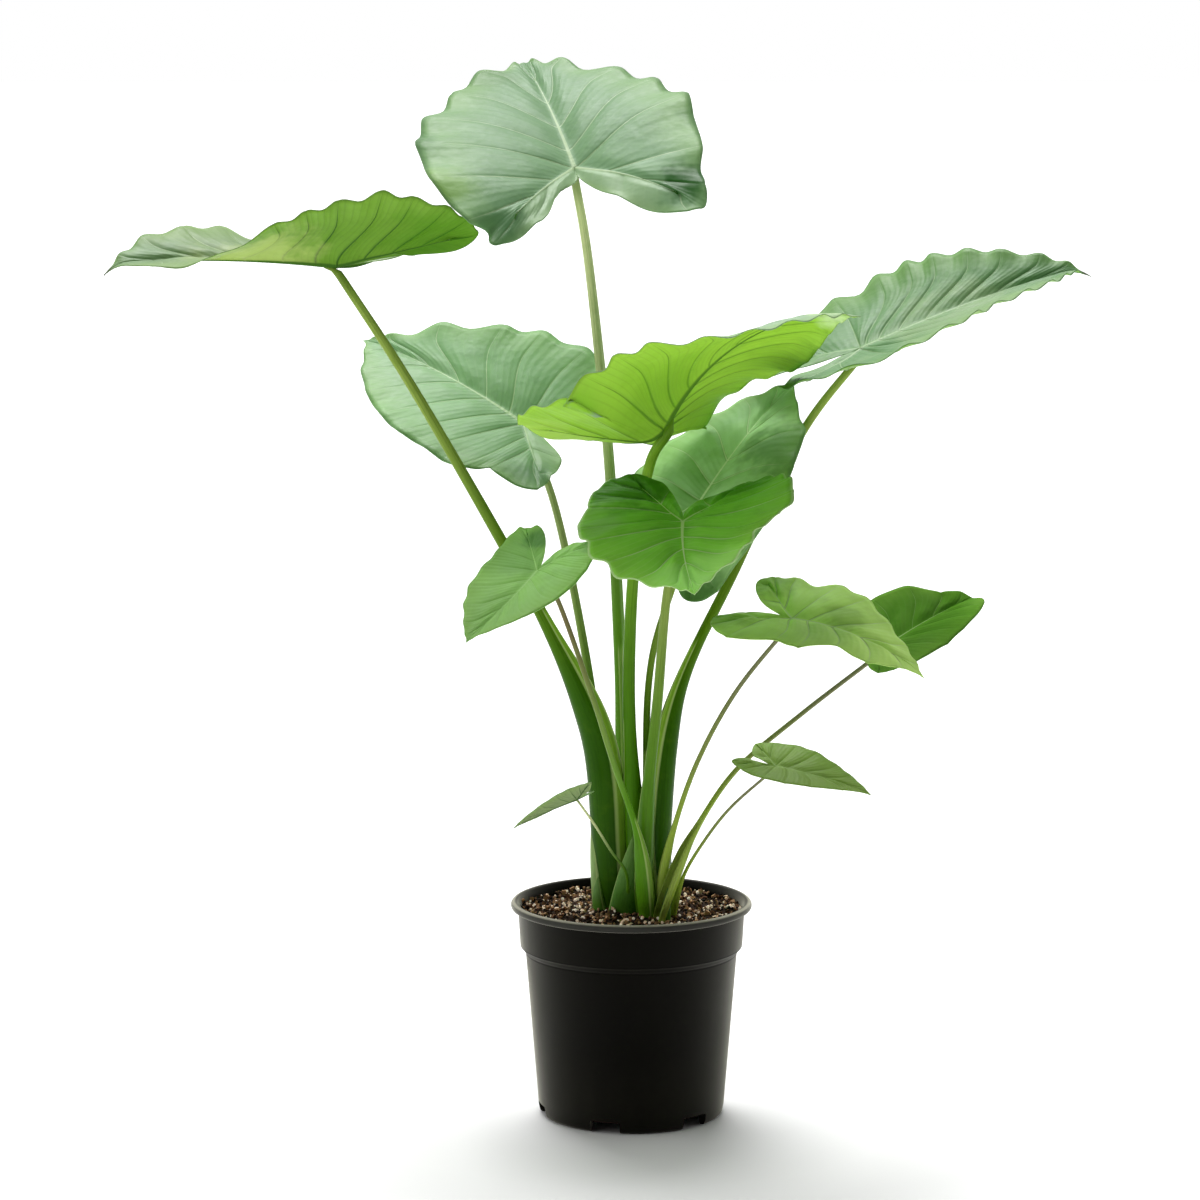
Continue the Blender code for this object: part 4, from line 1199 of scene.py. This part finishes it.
# %% Bracts
BRACT_ROOT = np.array([0.0, 0.0, 0.010])         # how far under the mix's top a bract starts
BRACTS = {
    # foot, direction that it faces in degrees, step from foot to tip, half width, half depth, finish
    "front": ((-0.0100, -0.0155), 268, (0.0120, 0.0060, 0.0900), 0.0180, 0.0110, "bract_green"),
    "left": ((-0.0330, 0.0020), 215, (-0.0050, -0.0010, 0.0480), 0.0110, 0.0080, "bract_green"),
    "left_edge": ((-0.0340, 0.0080), 190, (-0.0090, 0.0020, 0.1350), 0.0120, 0.0085, "bract_pale"),
    "right": ((0.0340, -0.0480), 300, (0.0060, -0.0010, 0.0400), 0.0085, 0.0070, "bract_green"),
}
for name, (foot, heading, step, half_width, half_depth, finish) in BRACTS.items():
    facing = turned(heading)
    base = np.array([*foot, MIX_TOP]) - BRACT_ROOT
    rise = np.array(step) + BRACT_ROOT
    path = smooth_route([base, base + 0.5 * rise + 0.002 * facing, base + rise], 31)
    narrowing = np.clip(1 - np.linspace(0, 1, len(path)) ** 1.7, 0.02, 1)
    bract = rolled_tube(f"bract_{name}", path, -facing, half_width * narrowing, half_depth * narrowing,
                        half_width * narrowing, np.ones(len(path)), opening=100.0, wall=0.14)
    hand_over(bract, None, "stalk_green", stalk_finishes[finish])
print("bracts:", len(BRACTS))

# %% [markdown]
# ## The nursery pot
#
# The pot is one moulded wall: a rolled rim, a straight collar, a shoulder where the collar steps in, and a
# body that tapers to a foot with drain notches. Everything but the notches is round, so one circle is
# extruded ring by ring along the pot's profile: up the inside, over the rim and down the outside.


# %% Turn a profile ring by ring
def arc(centre, radius, start, end, steps):
    angles = np.radians(np.linspace(start, end, steps))
    return [(centre[0] + radius * math.cos(a), centre[1] + radius * math.sin(a)) for a in angles]


def ring_by_ring(name, profile, segments=144):
    """Extrude a circle along (radius, height) points. It starts and ends with a hole, which is filled."""
    radius, height = profile[0]
    piece = fresh(bpy.ops.mesh.primitive_circle_add, name, vertices=segments, radius=radius,
                  location=(0.0, 0.0, height))
    settle(piece)
    bpy.ops.object.mode_set(mode="EDIT")
    bpy.ops.mesh.select_all(action="SELECT")
    for next_radius, next_height in profile[1:]:
        step = (0.0, 0.0, next_height - height)
        bpy.ops.mesh.extrude_region_move(TRANSFORM_OT_translate={"value": step})
        scale = next_radius / radius
        bpy.ops.transform.resize(value=(scale, scale, 1.0), center_override=(0.0, 0.0, next_height))
        radius, height = next_radius, next_height
    in_edit_mode(piece, CLOSE_HOLES, FACE_OUTWARDS)
    return piece


# %% Profile of the pot, as radius and height in metres
pot_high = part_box("nursery_pot")[1]
RIM_RADIUS, RIM_TOP = pot_high.x, pot_high.z
LIP = 0.0044                                   # half the height of the rolled rim
WALL = 0.0018
COLLAR_TOP, COLLAR_LOW, BODY_TOP = (0.1275, 0.2342), (0.1250, 0.1920), (0.1190, 0.1850)
BASE = (0.1040, 0.0)
FLOOR_TOP, FLOOR_UNDER, BOSS_RADIUS = 0.0105, 0.0080, 0.0220
TINY = 0.0004                                  # the hole left at the middle before it is filled

inside = [(TINY, FLOOR_TOP), (0.060, FLOOR_TOP), (0.0965, FLOOR_TOP)]
inside += arc((0.0985, 0.0150), 0.0045, -70, -5, 5)
inside += [(BODY_TOP[0] - WALL, BODY_TOP[1]), (COLLAR_LOW[0] - WALL, COLLAR_LOW[1] + 0.001),
           (COLLAR_TOP[0] - WALL, COLLAR_TOP[1])]
rim = arc((RIM_RADIUS - LIP, RIM_TOP - LIP), LIP, 140, -140, 22)
collar = [(COLLAR_TOP[0], COLLAR_TOP[1] - 0.0010), (0.1272, 0.2300), (0.1262, 0.2130), (0.12515, 0.1950)]
collar += arc((COLLAR_LOW[0] - 0.0020, COLLAR_LOW[1] + 0.0012), 0.0020, 0, -62, 6)
shoulder = [(0.12180, 0.18870)] + arc((BODY_TOP[0] + 0.0016, BODY_TOP[1] - 0.0004), 0.0016, 118, 180, 5)
body = [(BASE[0] + (BODY_TOP[0] - BASE[0]) * height / BODY_TOP[1], height)
        for height in (0.182, 0.150, 0.110, 0.070, 0.030, 0.010)]
foot = arc((0.0985, 0.0052), 0.0052, -6, -90, 7)
under = [(0.0960, 0.0), (0.0950, 0.0012), (0.0940, FLOOR_UNDER), (BOSS_RADIUS + 0.0005, FLOOR_UNDER),
         (BOSS_RADIUS, 0.0072), (BOSS_RADIUS, 0.0), (TINY, 0.0)]
pot_profile = inside + rim + collar + shoulder + body + foot + under
pot = ring_by_ring("pot", pot_profile)
print("pot rings:", len(pot_profile), "faces:", len(pot.data.polygons))

# %% Drain notches
NOTCHES, FIRST_NOTCH, NOTCH_RADIUS = 6, -107.0, 0.0970
NOTCH_SIZE, NOTCH_ROUNDING = (0.034, 0.034, 0.028), 0.0030
for number in range(NOTCHES):
    heading = FIRST_NOTCH + number * 360.0 / NOTCHES
    cutter = fresh(bpy.ops.mesh.primitive_cube_add, f"notch_cutter_{number + 1}", size=1.0,
                   location=NOTCH_RADIUS * turned(heading), rotation=(0, 0, math.radians(heading)),
                   scale=NOTCH_SIZE)
    settle(cutter)
    rounding = cutter.modifiers.new("Rounding", "BEVEL")
    rounding.width, rounding.segments = NOTCH_ROUNDING, 4
    apply_all(cutter)
    cut = pot.modifiers.new("Notch", "BOOLEAN")
    cut.operation, cut.solver, cut.object = "DIFFERENCE", "EXACT", cutter
    apply_all(pot)
    bpy.data.objects.remove(cutter, do_unlink=True)
only(pot)
bpy.ops.object.shade_smooth_by_angle(angle=math.radians(32))
print("pot after the notches:", len(pot.data.polygons), "faces")


# %% Black plastic
def black_plastic():
    """Nearly black and scuffed, with a paler grey rim, a painted highlight along the rim's top edge, lighter
    grey towards the foot and a soft sheen off the shoulder.
    """
    made = Finish("black_plastic_scuffed")
    cloud = made.noise(9.0, 4.0, 0.6)
    streaks = made.noise(26.0, 3.0, 0.6, stretch=(1.0, 1.0, 0.16))
    grain = made.noise(900.0, 3.0, 0.6)
    across, deep, height = made.parts(made.place)
    radius = made.reckon("SQRT", made.reckon("ADD", made.reckon("POWER", across, 2.0),
                                             made.reckon("POWER", deep, 2.0)))
    colour = made.mix(made.step(cloud, 0.35, 0.75), screen(1, 1, 1), screen(4, 4, 2))
    colour = made.mix(made.step(streaks, 0.52, 0.80, 0.0, 0.12), colour, screen(26, 25, 19))
    at_rim = made.times(made.step(height, RIM_TOP - 0.012, RIM_TOP - 0.002),
                        made.step(radius, RIM_RADIUS - 0.0056, RIM_RADIUS - 0.0036))
    # A mottled paler grey on the rim.
    paler_rim = made.times(at_rim, made.step(cloud, 0.2, 0.7, 0.3, 0.8))
    colour = made.mix(paler_rim, colour, screen(66, 66, 62))
    # Painted highlight along the top edge of the rim.
    painted_rim_highlight = made.times(at_rim, made.step(height, RIM_TOP - 0.0022, RIM_TOP - 0.0004))
    colour = made.mix(painted_rim_highlight, colour, screen(158, 153, 138))
    # Lighter, mottled grey towards the foot.
    paler_foot = made.times(made.step(height, 0.02, 0.10, 0.75, 0.0), made.step(streaks, 0.3, 0.6, 0.6, 1.0))
    colour = made.mix(paler_foot, colour, screen(25, 24, 18))
    below = made.step(height, COLLAR_LOW[1] - 0.0095, COLLAR_LOW[1] - 0.0075, 1.0, 0.0)
    above = made.step(height, COLLAR_LOW[1] + 0.0005, COLLAR_LOW[1] + 0.0025)
    off_shoulder = made.reckon("ADD", below, above, clamp=True)
    sheen = made.times(made.step(off_shoulder, 0.0, 1.0, 0.35, 1.0), 0.66)
    made.bump(made.reckon("ADD", made.times(grain, 0.35), streaks), 0.16, 0.0008)
    return made.surface(colour, made.step(cloud, 0.25, 0.8, 0.42, 0.60), Specular_IOR_Level=0.05,
                        Specular_Tint=(1.0, 0.94, 0.80, 1.0), Sheen_Weight=sheen, Sheen_Roughness=0.38,
                        Sheen_Tint=(1.0, 0.97, 0.82, 1.0))


hand_over(pot, "nursery_pot", "black_plastic", black_plastic())

# %% [markdown]
# ## Potting mix
#
# The mix is peat and fine bark with pale grains of perlite and tan chips of husk. The body is turned like
# the pot, and its top is roughened with a sum of waves. On top lie loose crumbs. Each kind is modelled
# once, with few faces, and copied many times into one mesh: each copy turned, squashed and set down on the
# surface at random, from a fixed seed.


# %% The body of the mix
MOUND_HEIGHT, MOUND_RADIUS = 0.0050, 0.045


def mix_height(x, y):
    """Height of the mix's surface: slightly mounded at the clump, uneven everywhere."""
    chance = random.Random(11)
    from_mound = (x - 0.008) ** 2 + (y + 0.006) ** 2
    height = MIX_TOP - 0.0006 + MOUND_HEIGHT * np.exp(-(from_mound / MOUND_RADIUS**2))
    for _ in range(26):
        turn, wave = chance.uniform(0, 2 * math.pi), chance.uniform(0.008, 0.045)
        phase = chance.uniform(0, 2 * math.pi)
        across = (x * math.cos(turn) + y * math.sin(turn)) * 2 * math.pi / wave
        height = height + 0.0165 * wave * np.sin(across + phase)
    return height


mix_profile = [(radius, MIX_TOP) for radius in np.linspace(TINY, 0.1244, 46)]
mix_profile += [(0.1238, 0.2200), (0.1225, 0.1935), (0.1166, 0.1840), (0.1026, 0.0150), (0.0990, 0.0112),
                (TINY, 0.0112)]
mix = ring_by_ring("mix_body", mix_profile)
spots = points_of(mix)
top = spots[:, 2] > MIX_TOP - 0.0005
spots[top, 2] = mix_height(spots[top, 0], spots[top, 1])
set_points(mix, spots)
shade_round(mix)


def peat(name, dark, light, scale):
    """Dull and lumpy. It also serves for the tuber's skin."""
    made = Finish(name)
    lumps = made.noise(scale, 5.0, 0.7)
    colour = made.mix(made.step(lumps, 0.3, 0.72), screen(*dark), screen(*light))
    made.bump(made.noise(scale * 2.5, 4.0, 0.7), 0.8, 0.002)
    return made.surface(colour, 0.95, Specular_IOR_Level=0.2)


hand_over(mix, "potting_mix", "potting_mix", peat("peat_body", (18, 11, 8), (66, 44, 31), 220.0))
print("mix surface from", round(spots[top, 2].min(), 4), "to", round(spots[top, 2].max(), 4))


# %% Scatter one small shape
SCATTER_RADIUS = 0.1246
BANK_START, BANK_WIDTH, BANK_HEIGHT = 0.108, 0.016, 0.0028   # grains heap up a little against the pot


def scattered(name, pattern, count, sizes, flatness, seed, sink):
    """Many copies of one small shape on the mix, as a single mesh."""
    chance = np.random.default_rng(seed)
    shape = points_of(pattern)
    faces = [tuple(face.vertices) for face in pattern.data.polygons]
    radius = SCATTER_RADIUS * np.sqrt(chance.random(count))
    turn = 2 * math.pi * chance.random(count)
    x, y = radius * np.cos(turn), radius * np.sin(turn)
    bank = BANK_HEIGHT * smooth((radius - BANK_START) / BANK_WIDTH)
    all_spots, all_faces = [], []
    for number in range(count):
        size = chance.uniform(*sizes)
        spin = np.array(Euler(chance.uniform(0, 2 * math.pi, 3)).to_matrix())
        lump = shape * (1 + 0.30 * (chance.random(len(shape))[:, None] - 0.5))
        lump = (lump * np.array([1.0, chance.uniform(0.6, 1.0), chance.uniform(*flatness)])) @ spin.T * size
        height = mix_height(x[number], y[number]) + sink * size + bank[number]
        all_faces += [tuple(v + number * len(shape) for v in face) for face in faces]
        all_spots.append(lump + np.array([x[number], y[number], height]))
    mesh = bpy.data.meshes.new(name)
    mesh.from_pydata(np.concatenate(all_spots).tolist(), [], all_faces)
    piece = bpy.data.objects.new(name, mesh)
    bpy.context.scene.collection.objects.link(piece)
    each, other = (np.repeat(chance.random(count), len(shape)) for _ in range(2))
    corner_map(piece, "grain", each, other)
    return piece


def grain_finish(name, first, second, third, roughness, painted_glow):
    """Every grain has its own tone, from the number that the scattering gave it. painted_glow is an emission
    that makes a white grain glow, painted light that brightens it."""
    made = Finish(name)
    each, other = made.uv("grain")
    colour = made.mix(made.step(each, 0.2, 0.8), screen(*first), screen(*second))
    colour = made.mix(made.step(other, 0.75, 0.95), colour, screen(*third))
    speck = made.noise(900.0, 3.0, 0.6)
    colour = made.mix(made.step(speck, 0.4, 0.8, 0.0, 0.3), colour, screen(*first))
    made.bump(speck, 0.5, 0.0006)
    # The grains' emission is painted light.
    return made.surface(colour, roughness, Specular_IOR_Level=0.25, Emission_Color=colour,
                        Emission_Strength=painted_glow)


# %% Crumbs, grains and chips
lump = fresh(bpy.ops.mesh.primitive_ico_sphere_add, "lump", subdivisions=1, radius=0.5)
pebble = fresh(bpy.ops.mesh.primitive_ico_sphere_add, "pebble", subdivisions=2, radius=0.5)
chip = fresh(bpy.ops.mesh.primitive_cube_add, "chip", size=1.0)
LOOSE = (
    # name, pattern, count, sizes, flatness, seed, sink; finish, three colours, roughness, painted_glow
    (("peat_crumbs", lump, 4000, (0.0012, 0.0054), (0.4, 1.0), 3, 0.06),
     ("peat_crumb", (14, 8, 4), (68, 45, 28), (176, 130, 90), 0.95, 0.0)),
    (("perlite_grains", pebble, 500, (0.0013, 0.0044), (0.7, 1.0), 5, 0.45),
     ("perlite", (255, 234, 208), (255, 244, 226), (240, 200, 164), 0.80, 0.16)),
    (("husk_chips", chip, 800, (0.0014, 0.0060), (0.15, 0.5), 7, 0.30),
     ("husk", (104, 68, 44), (184, 142, 104), (252, 222, 190), 0.85, 0.0)),
)
for placing, finish in LOOSE:
    loose = scattered(*placing)
    hand_over(loose, None, "potting_mix", grain_finish(*finish))
    print(loose.name, len(loose.data.polygons), "faces")
for pattern in (lump, pebble, chip):
    bpy.data.objects.remove(pattern, do_unlink=True)

# %% [markdown]
# ## Rootstock
#
# The stalks grow from a blunt brown tuber, ringed with the scars of old leaves. It sits under the mix and
# shows only where the mix is brushed aside, so a ringed, slightly uneven sphere is enough.

# %% The tuber
low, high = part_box("rootstock")
centre = (Vector(low) + Vector(high)) / 2
half = np.array([(h - l) / 2 for l, h in zip(low, high)])
tuber = fresh(bpy.ops.mesh.primitive_uv_sphere_add, "tuber", segments=64, ring_count=40, radius=1.0)
spots = points_of(tuber)
height = spots[:, 2].copy()
scars = 0.025 * np.sin(height * 26)
lobes = 0.02 * np.sin(5 * np.arctan2(spots[:, 1], spots[:, 0]) + 4 * height)
spots[:, :2] *= (0.93 * (1 + scars + lobes) * (1 - 0.25 * smooth(-height)))[:, None]
spots = spots * half + np.array(centre)
spots[:, 2] = np.minimum(spots[:, 2], high.z - 0.002)
set_points(tuber, spots)
shade_round(tuber)
hand_over(tuber, "rootstock", "rootstock", peat("tuber_skin", (70, 44, 26), (140, 100, 62), 90.0))
print("tuber:", len(tuber.data.polygons), "faces")

# %% [markdown]
# ## Floor, light and camera
#
# The plant is shown on a plain pale floor in soft studio light: a broad soft light high overhead and a
# little behind, a weaker one from the left, and a pale room that is darker on the camera's side. The camera
# stands well back, as high as the highest leaf, and looks slightly down.

# %% Floor
FLOOR_GLOW, GLOW_START, GLOW_FULL = 0.30, 0.12, 0.75     # strength, and distances from the pot's middle


def pale_floor():
    """White, and glowing a little away from the pot, so that only the shadow right at the pot can be seen."""
    made = Finish("pale_floor")
    gap = made.node("ShaderNodeVectorMath", operation="LENGTH")
    made.feed(gap.inputs[0], made.place)
    painted_glow = made.step(gap.outputs["Value"], GLOW_START, GLOW_FULL, 0.0, FLOOR_GLOW)
    return made.surface((0.93, 0.93, 0.93), 0.8, Specular_IOR_Level=0.0, Emission_Color=(1.0, 1.0, 1.0),
                        Emission_Strength=painted_glow)


floor = fresh(bpy.ops.mesh.primitive_plane_add, "floor", size=400.0)
floor.data.materials.append(pale_floor())
floor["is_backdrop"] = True


# %% Lamps
def soft_sun(name, towards, spread, strength):
    """A lamp as far off as the sun but as broad as a soft box, so that the whole floor is lit alike."""
    bpy.ops.object.light_add(type="SUN", location=(0.0, 0.0, 3.0))
    lamp = bpy.context.object
    lamp.name = name
    lamp.data.energy, lamp.data.angle = strength, math.radians(spread)
    lamp.rotation_euler = Vector(towards).to_track_quat("Z", "Y").to_euler()


soft_sun("key_light", towards=(-0.12, 0.60, 1.0), spread=36, strength=3.0)
soft_sun("side_light", towards=(-0.9, -0.25, 0.5), spread=60, strength=0.5)

# %% The room, which lights the plant from behind and is plain white to the camera
world = bpy.data.worlds.new("pale_room")
world.use_nodes = True
room = Nodes(world.node_tree)
backdrop = room.tree.nodes["Background"]
looking = room.parts(room.node("ShaderNodeTexCoord").outputs["Generated"])
fill = room.step(looking["Y"], -0.45, 0.15, 0.04, 0.76, kind="LINEAR")     # dark in front, light behind
to_camera = room.node("ShaderNodeLightPath").outputs["Is Camera Ray"]
room.feed(backdrop.inputs["Color"], (1.0, 1.0, 1.0))
room.feed(backdrop.inputs["Strength"], room.step(to_camera, 0.0, 1.0, fill, 1.0, kind="LINEAR"))
bpy.context.scene.world = world
bpy.context.scene.view_settings.view_transform = "Standard"

# %% Camera
bpy.ops.object.camera_add(location=(-0.0353, -4.33, 1.18), rotation=(math.radians(90 - 7.84), 0.0, 0.0))
camera = bpy.context.object
camera.data.sensor_width, camera.data.lens = 36.0, 117.72
camera.data.dof.use_dof = False
bpy.context.scene.camera = camera
print("camera:", [round(v, 3) for v in camera.location], "lens", round(camera.data.lens, 2), "mm")

# %% [markdown]
# ## Sizes and the end
#
# Both boxes are printed side by side, the imported model's and the dressed plant's. The dressed plant has
# to keep close to the imported model's box.

# %% Print the two boxes
dressed_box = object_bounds()
for name, corners in (("solid", solid_box), ("dressed", dressed_box)):
    print(name, [[round(v, 3) for v in corner] for corner in corners])
